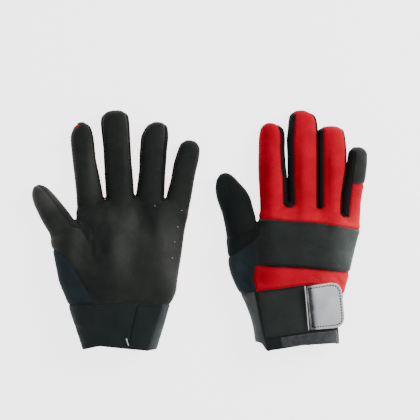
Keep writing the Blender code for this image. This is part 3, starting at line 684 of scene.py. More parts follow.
# Painted light (positive) and painted shade (negative) on the cloth: x, y, their reaches, amount.
PAINTED_LIGHT_SHADE = {
    "left": ((-152, 34, 16, 16, 1.0), (-107, 72, 5, 34, 0.6), (-76, -16, 13, 30, 0.85),
             (-122, -18, 7, 22, 0.75), (-30, -18, 13, 34, 0.9), (-24, -55, 8, 22, 0.7),
             (-88, 14, 6, 9, 0.4), (-67, 12, 8, 12, 0.6),
             (-55, 22, 8, 13, -0.9), (-97, -9, 7, 19, -0.8), (-84, 60, 6, 40, -0.35),
             (-56, 50, 6, 32, -0.35), (-73, 75, 4, 34, 0.25), (-144, -10, 7, 18, 0.5),
             (-128, -90, 6, 24, 0.7)),
    "right": ((66, 60, 7, 70, -0.75), (99, 50, 4.5, 46, -0.7), (129, 55, 4.5, 40, -0.7),
              (150, -20, 15, 34, 1.0), (60, -22, 14, 20, -0.5), (60, -48, 16, 12, -0.55),
              (134, -50, 16, 9, 0.55), (152, 12, 10, 10, 0.35), (13, 30, 8, 34, 0.9), (24, -12, 6, 20, 0.9),
              (36, -48, 9, 18, 0.7), (54, -95, 6, 28, 0.6)),
}


# Painted light (positive) and painted shade (negative) at each point, from the table above.
def painted_light_shade_of(side, points):
    total = np.zeros(len(points))
    for x, y, reach_x, reach_y, amount in PAINTED_LIGHT_SHADE[side]:
        total += amount * np.exp(-((points[:, 0] - x) / reach_x) ** 2 - ((points[:, 1] - y) / reach_y) ** 2)
    return np.clip(total, -1.0, 1.0)


FAR_FROM_SEAM = 9.0


class SeamFinder:
    """Distance from any point to the nearest of a set of seam points."""

    def __init__(self, points):
        self.tree = KDTree(max(len(points), 1))
        for index, point in enumerate(points):
            self.tree.insert(point, index)
        self.tree.balance()

    def distance(self, points, limit=FAR_FROM_SEAM):
        result = np.full(len(points), limit)
        for index, point in enumerate(points):
            result[index] = min(self.tree.find(point)[2], limit)
        return result


def mesh_normals(points, triangles):
    a, b, c = (points[triangles[:, corner]] for corner in range(3))
    face = np.cross(b - a, c - a)
    normals = np.zeros_like(points)
    for corner in range(3):
        np.add.at(normals, triangles[:, corner], face)
    return unit_rows(normals)


# ---- meshes ----
def make_mesh(name, points, faces, normals=None, material=None):
    """An object from points in mm; normals holds one per face corner."""
    mesh = bpy.data.meshes.new(name)
    mesh.from_pydata((points * MM).tolist(), [], [tuple(f) for f in faces])
    mesh.update()
    mesh.shade_smooth()
    if normals is not None:
        mesh.normals_split_custom_set(normals.tolist())
    piece = bpy.data.objects.new(name, mesh)
    bpy.context.scene.collection.objects.link(piece)
    if material:
        mesh.materials.append(material)
    return piece


def add_attribute(piece, name, kind, values):
    attribute = piece.data.attributes.new(name, kind, "POINT")
    key = "vector" if kind == "FLOAT_VECTOR" else "value"
    attribute.data.foreach_set(key, np.ascontiguousarray(values, np.float32).ravel())


def trim_piece(name, points, faces, material):
    """A piece whose texture follows its own points."""
    points = np.array(points)
    piece = make_mesh(name, points, faces, None, material)
    add_attribute(piece, "rest", "FLOAT_VECTOR", points * MM)
    return piece


def doubled(triangles, count):
    """Faces of an open panel's outer copy, its inner copy and the rim between, and the rim's edges."""
    edges = np.concatenate([triangles[:, (0, 1)], triangles[:, (1, 2)], triangles[:, (2, 0)]])
    keys = edges[:, 0].astype(np.int64) * count + edges[:, 1]
    back = edges[:, 1].astype(np.int64) * count + edges[:, 0]
    rim = edges[~np.isin(keys, back)]
    faces = triangles.tolist() + (triangles[:, (0, 2, 1)] + count).tolist()
    faces += [(b, a, a + count, b + count) for a, b in rim.tolist()]
    return faces, rim


def shell_piece(name, points, triangles, normals, rest, seam, painted_light_shade, thickness, material):
    """A closed panel: an outer face, an inner one and the edge that joins them."""
    used, triangles = np.unique(triangles, return_inverse=True)
    triangles = triangles.reshape(-1, 3)
    outer = points[used]
    normal = normals[used]
    inner = outer - normal * thickness
    inner[:, 2] = np.maximum(inner[:, 2], 0.0)
    count = len(used)
    faces, rim = doubled(triangles, count)
    all_points = np.concatenate([outer, inner])
    a, b = rim[:, 0], rim[:, 1]
    rim_normal = unit_rows(np.cross(all_points[a] - all_points[b], all_points[a + count] - all_points[a]))
    corners = [normal[triangles].reshape(-1, 3), -normal[triangles[:, (0, 2, 1)]].reshape(-1, 3),
               np.repeat(rim_normal, 4, axis=0)]
    piece = make_mesh(name, all_points, faces, np.concatenate(corners), material)
    add_attribute(piece, "rest", "FLOAT_VECTOR", np.tile(rest[used], (2, 1)) * MM)
    add_attribute(piece, "seam", "FLOAT", np.concatenate([seam[used], np.full(count, FAR_FROM_SEAM)]))
    add_attribute(piece, "inside", "FLOAT", np.repeat((0.0, 1.0), count))
    add_attribute(piece, "painted_light_shade", "FLOAT", np.tile(painted_light_shade[used], 2))
    return piece


# ---- materials ----
def dimmed(colour, share):
    """A darker tone of a colour."""
    return tuple(c * share for c in colour)


class Nodes:
    """Short names for the node calls that the materials share."""

    def __init__(self, name):
        self.material = bpy.data.materials.new(name)
        self.material.use_nodes = True
        self.tree = self.material.node_tree
        self.shader = self.tree.nodes["Principled BSDF"]

    def add(self, kind, **values):
        node = self.tree.nodes.new(kind)
        for key, value in values.items():
            setattr(node, key, value)
        return node

    def link(self, source, target):
        self.tree.links.new(source, target)

    def rest(self):
        return self.add("ShaderNodeAttribute", attribute_name="rest").outputs["Vector"]

    def noise(self, vector, scale, detail=3.0, roughness=0.55, distortion=0.0):
        node = self.add("ShaderNodeTexNoise")
        node.inputs["Scale"].default_value = scale
        node.inputs["Detail"].default_value = detail
        node.inputs["Roughness"].default_value = roughness
        node.inputs["Distortion"].default_value = distortion
        self.link(vector, node.inputs["Vector"])
        return node.outputs["Fac"]

    def voronoi(self, vector, scale):
        node = self.add("ShaderNodeTexVoronoi")
        node.inputs["Scale"].default_value = scale
        self.link(vector, node.inputs["Vector"])
        return node.outputs["Distance"]

    def feed(self, slot, value):
        """Give a socket a number, a colour or another node's output."""
        if isinstance(value, tuple):
            slot.default_value = value + (1.0,)
        elif isinstance(value, (int, float)):
            slot.default_value = value
        else:
            self.link(value, slot)

    def math(self, operation, a, b=0.0):
        node = self.add("ShaderNodeMath", operation=operation)
        self.feed(node.inputs[0], a)
        self.feed(node.inputs[1], b)
        return node.outputs[0]

    def sum_of(self, a, share_a, b, share_b):
        return self.math("ADD", self.math("MULTIPLY", a, share_a), self.math("MULTIPLY", b, share_b))

    def split(self, vector):
        node = self.add("ShaderNodeSeparateXYZ")
        self.link(vector, node.inputs[0])
        return node.outputs

    def mix(self, factor, a, b):
        node = self.add("ShaderNodeMix", data_type="RGBA")
        self.feed(node.inputs["Factor"], factor)
        self.feed(node.inputs[6], a)
        self.feed(node.inputs[7], b)
        return node.outputs[2]

    def ramp(self, value, low, high, to_low=0.0, to_high=1.0):
        node = self.add("ShaderNodeMapRange")
        self.link(value, node.inputs["Value"])
        for name, number in (("From Min", low), ("From Max", high), ("To Min", to_low), ("To Max", to_high)):
            node.inputs[name].default_value = number
        return node.outputs["Result"]

    def bump(self, height, distance, strength=1.0, below=None):
        node = self.add("ShaderNodeBump")
        node.inputs["Strength"].default_value = strength
        node.inputs["Distance"].default_value = distance
        self.link(height, node.inputs["Height"])
        if below is not None:
            self.link(below, node.inputs["Normal"])
        return node.outputs["Normal"]

    def finish(self, colour, roughness, normal, sheen=0.0, tint=(1.0, 1.0, 1.0), specular=0.35):
        for name, value in (("Base Color", colour), ("Roughness", roughness), ("Normal", normal),
                            ("Sheen Weight", sheen), ("Sheen Roughness", 0.45), ("Sheen Tint", tint),
                            ("Specular IOR Level", specular)):
            self.feed(self.shader.inputs[name], value)
        return self.material


def lined(nodes, colour, lining=(0.03, 0.03, 0.032)):
    """The colour outside and the lining's colour inside."""
    inside = nodes.add("ShaderNodeAttribute", attribute_name="inside").outputs["Fac"]
    return nodes.mix(inside, colour, lining)


def seam_mask(nodes, reach=2.2):
    """1 at a seam, 0 from this far away."""
    seam = nodes.add("ShaderNodeAttribute", attribute_name="seam").outputs["Fac"]
    return nodes.ramp(seam, 0.0, reach, 1.0, 0.0)


def paint_light_and_shade(nodes, rest, colour, lit_tone, dark):
    """The colour with painted light toward the lit tone and painted shade toward the dark tone, in uneven
    blotches.
    """
    painted_light_shade = nodes.add("ShaderNodeAttribute", attribute_name="painted_light_shade").outputs["Fac"]
    blotches = nodes.noise(rest, 75.0, 4.0, 0.6, 0.8)
    painted_light_shade = nodes.math("MULTIPLY", painted_light_shade, nodes.ramp(blotches, 0.3, 0.68, 0.7, 1.12))
    colour = nodes.mix(nodes.ramp(painted_light_shade, 0.0, 1.0), colour, lit_tone)
    return nodes.mix(nodes.ramp(painted_light_shade, 0.0, -1.0), colour, dark)


def weave(nodes, rest, pitch, turn=0.0):
    """Height of a knitted or woven face: two crossed sets of rounded threads."""
    node = nodes.add("ShaderNodeMapping")
    node.inputs["Rotation"].default_value = (0.0, 0.0, turn)
    nodes.link(rest, node.inputs["Vector"])
    x, y, _ = nodes.split(node.outputs["Vector"])
    rate = 2.0 * math.pi / pitch
    a = nodes.math("SINE", nodes.math("MULTIPLY", x, rate))
    b = nodes.math("SINE", nodes.math("MULTIPLY", y, rate))
    return nodes.math("MULTIPLY", nodes.math("ADD", nodes.math("MULTIPLY", a, b), 1.0), 0.5)


def stretch_cloth(name, dark, light, lit_tone, pitch=0.0009, sheen=0.05, specular=0.12):
    """Knitted cloth between two tones, with painted light toward its lit tone and painted shade toward a
    darker one; pitch is the weave's, in metres.
    """
    nodes = Nodes(name)
    rest = nodes.rest()
    cloud = nodes.noise(rest, 45.0, 4.0)
    fine = nodes.noise(rest, 900.0, 2.0)
    threads = weave(nodes, rest, pitch, 0.5)
    tone = nodes.sum_of(cloud, 0.6, fine, 0.4)
    colour = nodes.mix(nodes.ramp(tone, 0.3, 0.7), dark, light)
    # painted shade falls to about a third of the dark tone
    colour = paint_light_and_shade(nodes, rest, colour, lit_tone, dimmed(dark, 0.35))
    colour = nodes.mix(nodes.math("MULTIPLY", threads, 0.18), colour, dark)
    colour = nodes.mix(nodes.math("MULTIPLY", seam_mask(nodes), 0.45), colour, dimmed(dark, 0.45))
    roughness = nodes.ramp(fine, 0.3, 0.7, 0.72, 0.9)
    normal = nodes.bump(nodes.sum_of(threads, 0.7, fine, 0.5), 0.00025, 0.6)
    tint = tuple(min(1.0, c * 3 + 0.1) for c in light)
    return nodes.finish(lined(nodes, colour), roughness, normal, sheen, tint, specular)


def suede_leather(name, dark, light, worn, lit_tone, gloss=0.72, grain=620.0, specular=0.16, shade=0.4):
    """Suede between two tones, worn in specks and at its seams, with painted light toward its lit tone. Its
    painted shade falls to this share of the dark tone.
    """
    nodes = Nodes(name)
    rest = nodes.rest()
    cloud = nodes.noise(rest, 28.0, 5.0, 0.6, 0.6)
    patch = nodes.noise(rest, 90.0, 3.0)
    pores = nodes.voronoi(rest, grain)
    fine = nodes.noise(rest, 1500.0, 2.0)
    tone = nodes.sum_of(cloud, 0.7, patch, 0.3)
    colour = nodes.mix(nodes.ramp(tone, 0.35, 0.68), dark, light)
    colour = paint_light_and_shade(nodes, rest, colour, lit_tone, dimmed(dark, shade))
    colour = nodes.mix(nodes.math("MULTIPLY", nodes.ramp(fine, 0.55, 0.75), 0.25), colour, worn)
    edge = nodes.ramp(seam_mask(nodes, 3.0), 0.15, 0.6)
    colour = nodes.mix(nodes.math("MULTIPLY", edge, nodes.ramp(patch, 0.4, 0.7, 0.05, 0.35)), colour, worn)
    roughness = nodes.ramp(tone, 0.3, 0.7, gloss + 0.1, gloss - 0.08)
    normal = nodes.bump(nodes.sum_of(pores, 0.8, fine, 0.35), 0.0003, 0.45)
    normal = nodes.bump(cloud, 0.0012, 0.25, normal)
    return nodes.finish(lined(nodes, colour), roughness, normal, 0.03, (0.5, 0.5, 0.45), specular)


def thread_material(name, colour, sheen=0.2, specular=0.35):
    """Thread or cord, with painted shade in the hollows of its twist."""
    nodes = Nodes(name)
    twist = nodes.noise(nodes.rest(), 2500.0, 2.0)
    tone = nodes.mix(nodes.ramp(twist, 0.3, 0.7), dimmed(colour, 0.6), colour)
    roughness = nodes.ramp(twist, 0.3, 0.7, 0.5, 0.75)
    return nodes.finish(tone, roughness, nodes.bump(twist, 0.0001, 0.5), sheen, specular=specular)


def loop_cloth(name, dark, light):
    """The fuzzy face of the closure: tangled loops."""
    nodes = Nodes(name)
    rest = nodes.rest()
    tangle = nodes.noise(rest, 1300.0, 4.0, 0.7, 1.5)
    clump = nodes.noise(rest, 260.0, 3.0)
    tone = nodes.sum_of(tangle, 0.65, clump, 0.35)
    colour = nodes.mix(nodes.ramp(tone, 0.35, 0.65), dark, light)
    normal = nodes.bump(nodes.math("ADD", tangle, clump), 0.0006, 0.9)
    return nodes.finish(colour, nodes.ramp(tangle, 0.3, 0.7, 0.8, 0.98), normal, 0.4, specular=0.1)


def hook_plastic(name, colour):
    """The hooked face of the closure: rows of small upright hooks."""
    nodes = Nodes(name)
    rest = nodes.rest()
    rows = weave(nodes, rest, 0.0014)
    fine = nodes.noise(rest, 1500.0, 2.0)
    tone = nodes.mix(rows, dimmed(colour, 0.4), colour)
    roughness = nodes.ramp(fine, 0.3, 0.7, 0.35, 0.6)
    return nodes.finish(tone, roughness, nodes.bump(rows, 0.0006, 0.9), 0.0, specular=0.4)


# The record's slot that each look belongs to.
SLOTS = {
    "red": "red_stretch", "palm": "palm_leather", "leaf": "palm_leather", "navy": "navy_stretch",
    "black": "black_mesh", "band": "knuckle_leather", "tip": "grey_tip", "neoprene": "neoprene",
    "strap": "neoprene", "cuff_side": "neoprene", "loop": "loop_fabric", "hook": "hook_plastic",
    "tab": "grey_tab", "thread": "black_mesh", "dark_thread": "black_mesh", "piping": "grey_tab",
    "label": "grey_tab", "thumb_back": "black_mesh", "thumb_side": "black_mesh",
}


def palette():
    # The third tone of each cloth and the fourth of each suede is its lit tone, laid on as painted light.
    looks = {
        "red": stretch_cloth("red_stretch_cloth", (0.42, 0.001, 0.012), (0.70, 0.002, 0.026),
                             (0.88, 0.035, 0.05), sheen=0.02, specular=0.04),
        "palm": suede_leather("palm_suede", (0.0082, 0.0105, 0.0092), (0.0165, 0.0190, 0.0165),
                              # the crotch leaf is its own panel of palm suede; its darker tones are painted
                              # shade in the thumb's crotch
                              (0.040, 0.041, 0.036), (0.053, 0.055, 0.049)),
        "leaf": suede_leather("leaf_suede_shaded", (0.006, 0.0075, 0.007), (0.013, 0.015, 0.0138),
                              (0.034, 0.036, 0.033), (0.04, 0.04, 0.036)),
        "navy": stretch_cloth("navy_stretch_cloth", (0.0085, 0.0145, 0.0170), (0.019, 0.0285, 0.0335),
                              (0.030, 0.044, 0.052), 0.0011),
        "black": stretch_cloth("black_mesh_cloth", (0.004, 0.005, 0.0045), (0.011, 0.012, 0.0105),
                               (0.018, 0.020, 0.018), 0.0013, 0.04),
        "thumb_back": stretch_cloth("thumb_back_cloth", (0.0045, 0.006, 0.0055), (0.011, 0.0135, 0.013),
                                    (0.016, 0.027, 0.032), 0.0013, 0.04),
        "thumb_side": stretch_cloth("thumb_side_cloth", (0.013, 0.0155, 0.0145), (0.025, 0.029, 0.027),
                                    (0.050, 0.054, 0.052), 0.0012, 0.04),
        "band": suede_leather("knuckle_suede", (0.0115, 0.0145, 0.0125), (0.019, 0.023, 0.0205),
                              (0.045, 0.050, 0.046), (0.090, 0.105, 0.098), 0.66),
        "tip": suede_leather("tip_suede", (0.022, 0.0245, 0.022), (0.036, 0.039, 0.036),
                             (0.07, 0.072, 0.066), (0.08, 0.08, 0.076)),
        "neoprene": stretch_cloth("neoprene_cloth", (0.0105, 0.014, 0.014), (0.020, 0.0245, 0.0245),
                                  (0.05, 0.054, 0.054), 0.0008, 0.06),
        "strap": stretch_cloth("strap_cloth", (0.019, 0.0225, 0.0215), (0.034, 0.039, 0.036),
                               (0.06, 0.064, 0.062), 0.0007),
        "cuff_side": stretch_cloth("cuff_side_cloth", (0.042, 0.047, 0.048), (0.075, 0.081, 0.083),
                                   (0.11, 0.115, 0.12), 0.0009, 0.1),
        "loop": loop_cloth("loop_pile", (0.022, 0.024, 0.027), (0.082, 0.085, 0.092)),
        "hook": hook_plastic("hook_rows", (0.02, 0.02, 0.021)),
        # the tab's painted shade falls to 0.08 of its dark tone
        "tab": suede_leather("grey_tab_suede", (0.48, 0.49, 0.51), (0.63, 0.635, 0.65),
                             (0.72, 0.72, 0.73), (0.75, 0.75, 0.75), 0.55, 900.0, shade=0.08),
        "thread": thread_material("tab_thread", (0.002, 0.0022, 0.0025), 0.0, 0.05),
        "dark_thread": thread_material("seam_thread", (0.026, 0.028, 0.028), 0.05, 0.2),
        "piping": thread_material("pale_piping", (0.70, 0.70, 0.69)),
        "label": thread_material("label_tape", (0.85, 0.86, 0.87)),
    }
    for key, material in looks.items():
        material["slot"] = SLOTS[key]
    return looks


# ---- cloth ----
COVER_PRESSURE = 5.0
COVER_CAP = 1.2        # how far a point of the knuckle cover may move
COVER_MARGIN = 3.4     # it is held still this close to its seams
TAB_PRESSURE = 6.0
TAB_CAP = 1.1
CLOTH_SCALE = 10.0     # the cloth is worked at ten times its size, where the solver's steps suit it
CLOTH_FRAMES = 20
PAD_DEPTH = 2.0        # how far below an open panel its still copy lies


def swell(points, faces, held, pressure, cap):
    """Blow up a closed pad with Blender's cloth; gives the new points, moved no further than cap."""
    scene = bpy.context.scene
    worker = make_mesh("pad_at_work", points * CLOTH_SCALE, faces)
    group = worker.vertex_groups.new(name="held")
    group.add(np.flatnonzero(held).tolist(), 1.0, "REPLACE")
    cloth = worker.modifiers.new("Cloth", "CLOTH")
    cloth.point_cache.frame_start = 1
    cloth.point_cache.frame_end = CLOTH_FRAMES
    settings = cloth.settings
    settings.vertex_group_mass = "held"
    settings.use_pressure = True
    settings.uniform_pressure_force = pressure
    settings.effector_weights.gravity = 0.0
    for number in range(1, CLOTH_FRAMES + 1):
        scene.frame_set(number)
    shaped = worker.evaluated_get(bpy.context.evaluated_depsgraph_get())
    moved = np.empty(len(points) * 3)
    shaped.data.vertices.foreach_get("co", moved)
    move = moved.reshape(-1, 3) / (CLOTH_SCALE * MM) - points
    size = np.linalg.norm(move, axis=1, keepdims=True)
    move *= cap * np.tanh(size / cap) / np.maximum(size, 1e-9)
    mesh = worker.data
    bpy.data.objects.remove(worker)
    bpy.data.meshes.remove(mesh)
    scene.frame_set(1)
    return points + move


def swell_panel(points, triangles, held, pressure, cap):
    """The same for an open panel: a still copy of it, a little below, closes the pad."""
    used, part = np.unique(triangles, return_inverse=True)
    count = len(used)
    faces, _ = doubled(part.reshape(-1, 3), count)
    below = points[used] - mesh_normals(points, triangles)[used] * PAD_DEPTH
    still = np.concatenate([held[used], np.ones(count, bool)])
    result = points.copy()
    result[used] = swell(np.concatenate([points[used], below]), faces, still, pressure, cap)[:count]
    return result


# ---- pieces of the gloves ----
PANEL_MATERIAL = {
    "palm_panel": "palm", "back_panel": "red", "knuckle_cover": "band", "lower_back_panel": "red",
    "thumb_gusset": "navy", "cuff_back": "neoprene", "cuff_palm": "neoprene", "crotch_leaf": "leaf",
    "web_strips": "black", "cuff_side": "cuff_side",
    "palm": "palm", "back": "red", "fourchette_little_side": "black", "fourchette_thumb_side": "black",
    "tip_panel": "tip",
}
THUMB_BACK = {"left": "thumb_side", "right": "thumb_back"}    # the look of each thumb's back
FOLD_REACH = 26.0      # a length along a digit from its root; the skins do not bend over it


def mesh_bounds(body):
    """The boxes in which the hand and each digit are meshed."""
    outline = body.data["outline"]
    thumb = body.digits["thumb"]
    tip = thumb.point(thumb.length, 0.0, 0.0)
    bounds = {
        "hand": ((min(row[1] for row in outline) - 6, -128, -3),
                 (max(row[2] for row in outline) + 6, 46, 47)),
        "thumb": ((min(tip[0], thumb.x) - 22, -52, -3), (thumb.x + 26, tip[1] + 16, 40)),
    }
    for name in FINGERS:
        digit = body.digits[name]
        tip = digit.point(digit.length, 0.0, 0.0)
        reach = digit.width / 2.0 + 6.0
        bounds[name] = ((min(digit.x, tip[0]) - reach, digit.y - 8, -3),
                        (max(digit.x, tip[0]) + reach, tip[1] + 4, 28))
    return bounds


def cut_meshes(body):
    """For the hand and each digit: field, points, triangles, their panels, and the panels' borders."""
    meshes = {}
    for key, (low, high) in mesh_bounds(body).items():
        whole = key == "hand"
        shape = body.field if whole else partial(body.field, name=key)
        label = partial(hand_label, body) if whole else partial(digit_label, body, key)
        meshes[key] = (shape,) + cut_by_label(*surface_nets(shape, low, high), label)
    return meshes


def find_seams(meshes):
    """Where panels are sewn together, and the knuckle cover's long and short edges."""
    seams = []
    for key, (*_, border, pairs) in meshes.items():
        sewn = (pairs >= 0).all(axis=1)
        if key == "hand":
            onto_thumb = (pairs == THUMB_PART).any(axis=1) & (pairs >= 0).any(axis=1)
            sewn |= onto_thumb & ~(pairs == HAND["palm_panel"]).any(axis=1)
            at_band = (pairs == HAND["knuckle_cover"]).any(axis=1)
            long_edge = at_band & np.isin(pairs, (HAND["back_panel"], HAND["lower_back_panel"])).any(axis=1)
            band_edge = SeamFinder(border[long_edge])
            band_side = SeamFinder(border[at_band & ~long_edge])
        seams.append(border[sewn])
    return SeamFinder(np.concatenate(seams)), band_edge, band_side


def moved_out(points, normals, shift):
    """The points moved along their normals, but never into the floor."""
    moved = points + normals * shift[:, None]
    moved[:, 2] = np.maximum(moved[:, 2], 0.0)
    return moved


def raise_band(body, points, normals, move, part, band_edge, band_side):
    """The points of a hand whose knuckle cover stands above the back, blown up as a pad."""
    edge = band_edge.distance(points)
    facing = smooth_step(normals[:, 2] * body.up, 0.3, 0.9)
    facing = facing * smooth_step(band_side.distance(points, 14.0), 0.0, BAND_SIDE_FADE)
    shift = move + facing * BAND_HEIGHT * smooth_step(edge, -0.4, BAND_SHOULDER)
    shift += facing * RIM * np.exp(-((edge - RIM_PLACE) / RIM_WIDTH) ** 2)
    moved = moved_out(points, normals, shift)
    held = np.minimum(edge, band_side.distance(points)) < COVER_MARGIN
    moved = swell_panel(moved, part, held, COVER_PRESSURE, COVER_CAP)
    moved[:, 2] = np.maximum(moved[:, 2], 0.05)
    return moved


def attach_skin(piece, body, key, label):
    """Hide the nodes that a skin stands for, and attach a hand's skin to its hand's body; a digit's skin is
    baked in place.
    """
    stands_for = [node for node in (label, label.replace("_cover", "_foam")) if node in frame["nodes"]]
    if stands_for:
        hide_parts(*dict.fromkeys(stands_for))
    if key == "hand":
        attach(piece, f"{body.side}_hand")
        return
    reaches = (1.0 if key == "thumb" else 0.5, FOLD_REACH)
    start, end = (tuple(body.digits[key].point(reach, 0.0, 0.0) * MM) for reach in reaches)
    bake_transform(piece)


def build_glove(side, materials):
    """The skins of one glove. Returns its shape and the finished surface of its hand."""
    body = Body(side)
    meshes = cut_meshes(body)
    seams, band_edge, band_side = find_seams(meshes)
    surface = []
    for key, (shape, points, triangles, labels, *_) in meshes.items():
        normals = unit_rows(gradient(shape, points))
        seam = seams.distance(points)
        painted_light_shade = painted_light_shade_of(side, points)
        move = sculpt(body, points, normals, key)
        move *= smooth_step(seam, -1.0, SEAM_FADE)
        puff = PUFF * (1.0 - np.exp(-(seam / PUFF_REACH) ** 2))
        move += puff - GROOVE * np.exp(-(seam / GROOVE_WIDTH) ** 2)
        plain = moved_out(points, normals, move)
        plain_normals = mesh_normals(plain, triangles)
        for number, panel in enumerate(HAND_PANELS if key == "hand" else DIGIT_PANELS):
            part = triangles[labels == number]
            if len(part) == 0:
                continue
            moved, bent = plain, plain_normals
            if panel == "knuckle_cover":
                moved = raise_band(body, points, normals, move, part, band_edge, band_side)
                bent = mesh_normals(moved, part)
            thickness = CUFF_SKIN if panel.startswith("cuff") else SKIN
            label = f"{side}_{panel}" if key == "hand" else f"{side}_{key}_{panel}"
            look = THUMB_BACK[side] if (key, panel) == ("thumb", "back") else PANEL_MATERIAL[panel]
            piece = shell_piece(label + "_skin", moved, part, bent, points, seam, painted_light_shade, thickness,
                                materials[look])
            attach_skin(piece, body, key, label)
            if key == "hand":
                surface.append((moved, part))
    return body, Ground(body, surface)


# ---- what is sewn on ----
CURL_START = 18.0      # a pull tab's free end curls from this far along it
CURL_RADIUS = 200.0
RAY_START = 200.0
PATCH_STEPS = (0.0, 0.2, 0.5, 0.9, 1.4, 2.0, 2.6, 3.2, 4.0)    # rings of a patch, in from its edge
STITCH_SIDES = 6
SETTLE_REACH = 6.0     # how far above and below a path its piece is looked for


class Ground:
    """The finished surface of a hand, reached by rays from above or from below."""

    def __init__(self, body, surface):
        points, triangles, count = [], [], 0
        for part_points, part_triangles in surface:
            points.append(part_points)
            triangles.append(part_triangles + count)
            count += len(part_points)
        self.tree = BVHTree.FromPolygons(np.concatenate(points).tolist(), np.concatenate(triangles).tolist())
        self.body = body

    def at(self, x, y, face):
        """Points of the surface over places in plan, and the normals of the unpuckered shape there."""
        points = np.empty((len(x), 3))
        last = None
        for index, place in enumerate(zip(x, y)):
            hit = self.tree.ray_cast(Vector((*place, RAY_START * face)), Vector((0.0, 0.0, -face)))[0]
            if hit is None:
                hit = last if last is not None else Vector((*place, self.body.middle(place[1])))
            last = hit
            points[index] = hit
        return points, unit_rows(gradient(self.body.hand, points))


class Plane:
    """The flat frame of a pull tab: its local x runs away from the sewn edge."""

    def __init__(self, place, curl):
        self.place = place
        self.curl = curl

    def at(self, x, y, face):
        turn = np.array(self.place.to_3x3())
        curled = -self.curl * np.maximum(x - CURL_START, 0.0) ** 2 / (2.0 * CURL_RADIUS)
        flat = np.stack((x, y, curled), axis=1)
        points = flat @ turn.T + np.array(self.place.translation)
        return points, np.tile(turn[:, 2] * face, (len(points), 1))


def rounded(corners, radii, pitch=1.1):
    """A closed outline in plan, rounded by one radius or by one for each corner, at an even pitch."""
    path = []
    count = len(corners)
    radii = np.broadcast_to(radii, count)
    for index in range(count):
        before, here, after = (np.array(corners[(index + k) % count], float) for k in (-1, 0, 1))
        a = (before - here) / np.linalg.norm(before - here)
        b = (after - here) / np.linalg.norm(after - here)
        half = math.acos(np.clip(a @ b, -1.0, 1.0)) / 2.0
        run = radii[index] / math.tan(half)
        for t in np.linspace(0.0, 1.0, 9):
            path.append(here + a * run * (1.0 - t) ** 2 + b * run * t ** 2)
    path = np.array(path + path[:1])
    length = np.concatenate([[0.0], np.cumsum(np.linalg.norm(np.diff(path, axis=0), axis=1))])
    places = np.linspace(0.0, length[-1], max(16, int(length[-1] / pitch)), endpoint=False)
    return np.stack([np.interp(places, length, path[:, k]) for k in (0, 1)], axis=1)


def inset(outline, distance):
    """The outline moved inwards, point by point."""
    ahead = np.roll(outline, -1, axis=0) - np.roll(outline, 1, axis=0)
    ahead /= np.linalg.norm(ahead, axis=1, keepdims=True)
    inward = np.stack((-ahead[:, 1], ahead[:, 0]), axis=1)
    if ((outline.mean(axis=0) - outline) * inward).sum() < 0.0:
        inward = -inward
    return outline + inward * distance


def edge_distance(points, outline):
    """Distance in plan from each point to a closed outline."""
    best = np.full(len(points), 1e9)
    for start, end in zip(outline, np.roll(outline, -1, axis=0)):
        span = end - start
        place = np.clip(((points - start) @ span) / (span @ span), 0.0, 1.0)
        best = np.minimum(best, np.linalg.norm(points - start - place[:, None] * span, axis=1))
    return best


def patch(name, outline, base, face, profile, material, sink=0.3, pressure=0.0, held=0.0, painted_light_shade=None):
    """A closed pad over an outline in plan: profile gives its height from the distance to its edge."""
    centre = outline.mean(axis=0)
    reach = np.linalg.norm(outline - centre, axis=1).min()
    steps = [step for step in PATCH_STEPS if step < 0.8 * reach]
    while steps[-1] < reach - 1.6:
        steps.append(steps[-1] + 1.2)
    rings = [centre + (outline - centre) * (1.0 - step / reach) for step in steps]
    flat = np.concatenate(rings + [centre[None]])
    edge = edge_distance(flat, outline)
    points, normals = base.at(flat[:, 0], flat[:, 1], face)
    top = points + normals * profile(edge)[:, None]
    under = points - normals * sink
    count, size = len(outline), len(flat)
    faces = []
    for ring in range(len(rings) - 1):
        for k in range(count):
            a, b = ring * count + k, ring * count + (k + 1) % count
            faces.append((a, b, b + count, a + count))
    last = (len(rings) - 1) * count
    faces += [(last + k, last + (k + 1) % count, size - 1) for k in range(count)]
    turn = (outline[:, 0] * np.roll(outline[:, 1], -1) - outline[:, 1] * np.roll(outline[:, 0], -1)).sum()
    if (turn > 0.0) != (face > 0.0):
        faces = [f[::-1] for f in faces]
    bottom = [tuple(v + size for v in f[::-1]) for f in faces]
    rim = []
    for k in range(count):
        a, b = k, (k + 1) % count
        rim.append((b, a, a + size, b + size) if (turn > 0.0) == (face > 0.0) else (a, b, b + size, a + size))
    everything = np.concatenate([top, under])
    if pressure:
        still = np.concatenate([edge < held, np.ones(size, bool)])
        everything = swell(everything, faces + bottom + rim, still, pressure, TAB_CAP)
    everything[:, 2] = np.maximum(everything[:, 2], 0.02)
    piece = trim_piece(name, everything, faces + bottom + rim, material)
    add_attribute(piece, "seam", "FLOAT", np.tile(edge, 2))
    add_attribute(piece, "inside", "FLOAT", np.zeros(2 * size))
    add_attribute(piece, "painted_light_shade", "FLOAT", np.zeros(2 * size) if painted_light_shade is None else np.tile(painted_light_shade(flat), 2))
    return piece


def slab(thickness, rounding=0.8, puff=0.0, puff_from=3.0, groove=None, depth=0.35):
    """Height profile of a patch: a rounded rim, a sewn channel if asked for, and a puffed middle."""
    def profile(edge):
        rim = np.sqrt(np.maximum(1.0 - (1.0 - np.minimum(edge / rounding, 1.0)) ** 2, 0.0))
        height = thickness * (0.25 + 0.75 * rim) + puff * smooth_step(edge, puff_from, 10.0)
        if groove is not None:
            height = height - depth * np.exp(-((edge - groove) / 0.7) ** 2)
        return height
    return profile


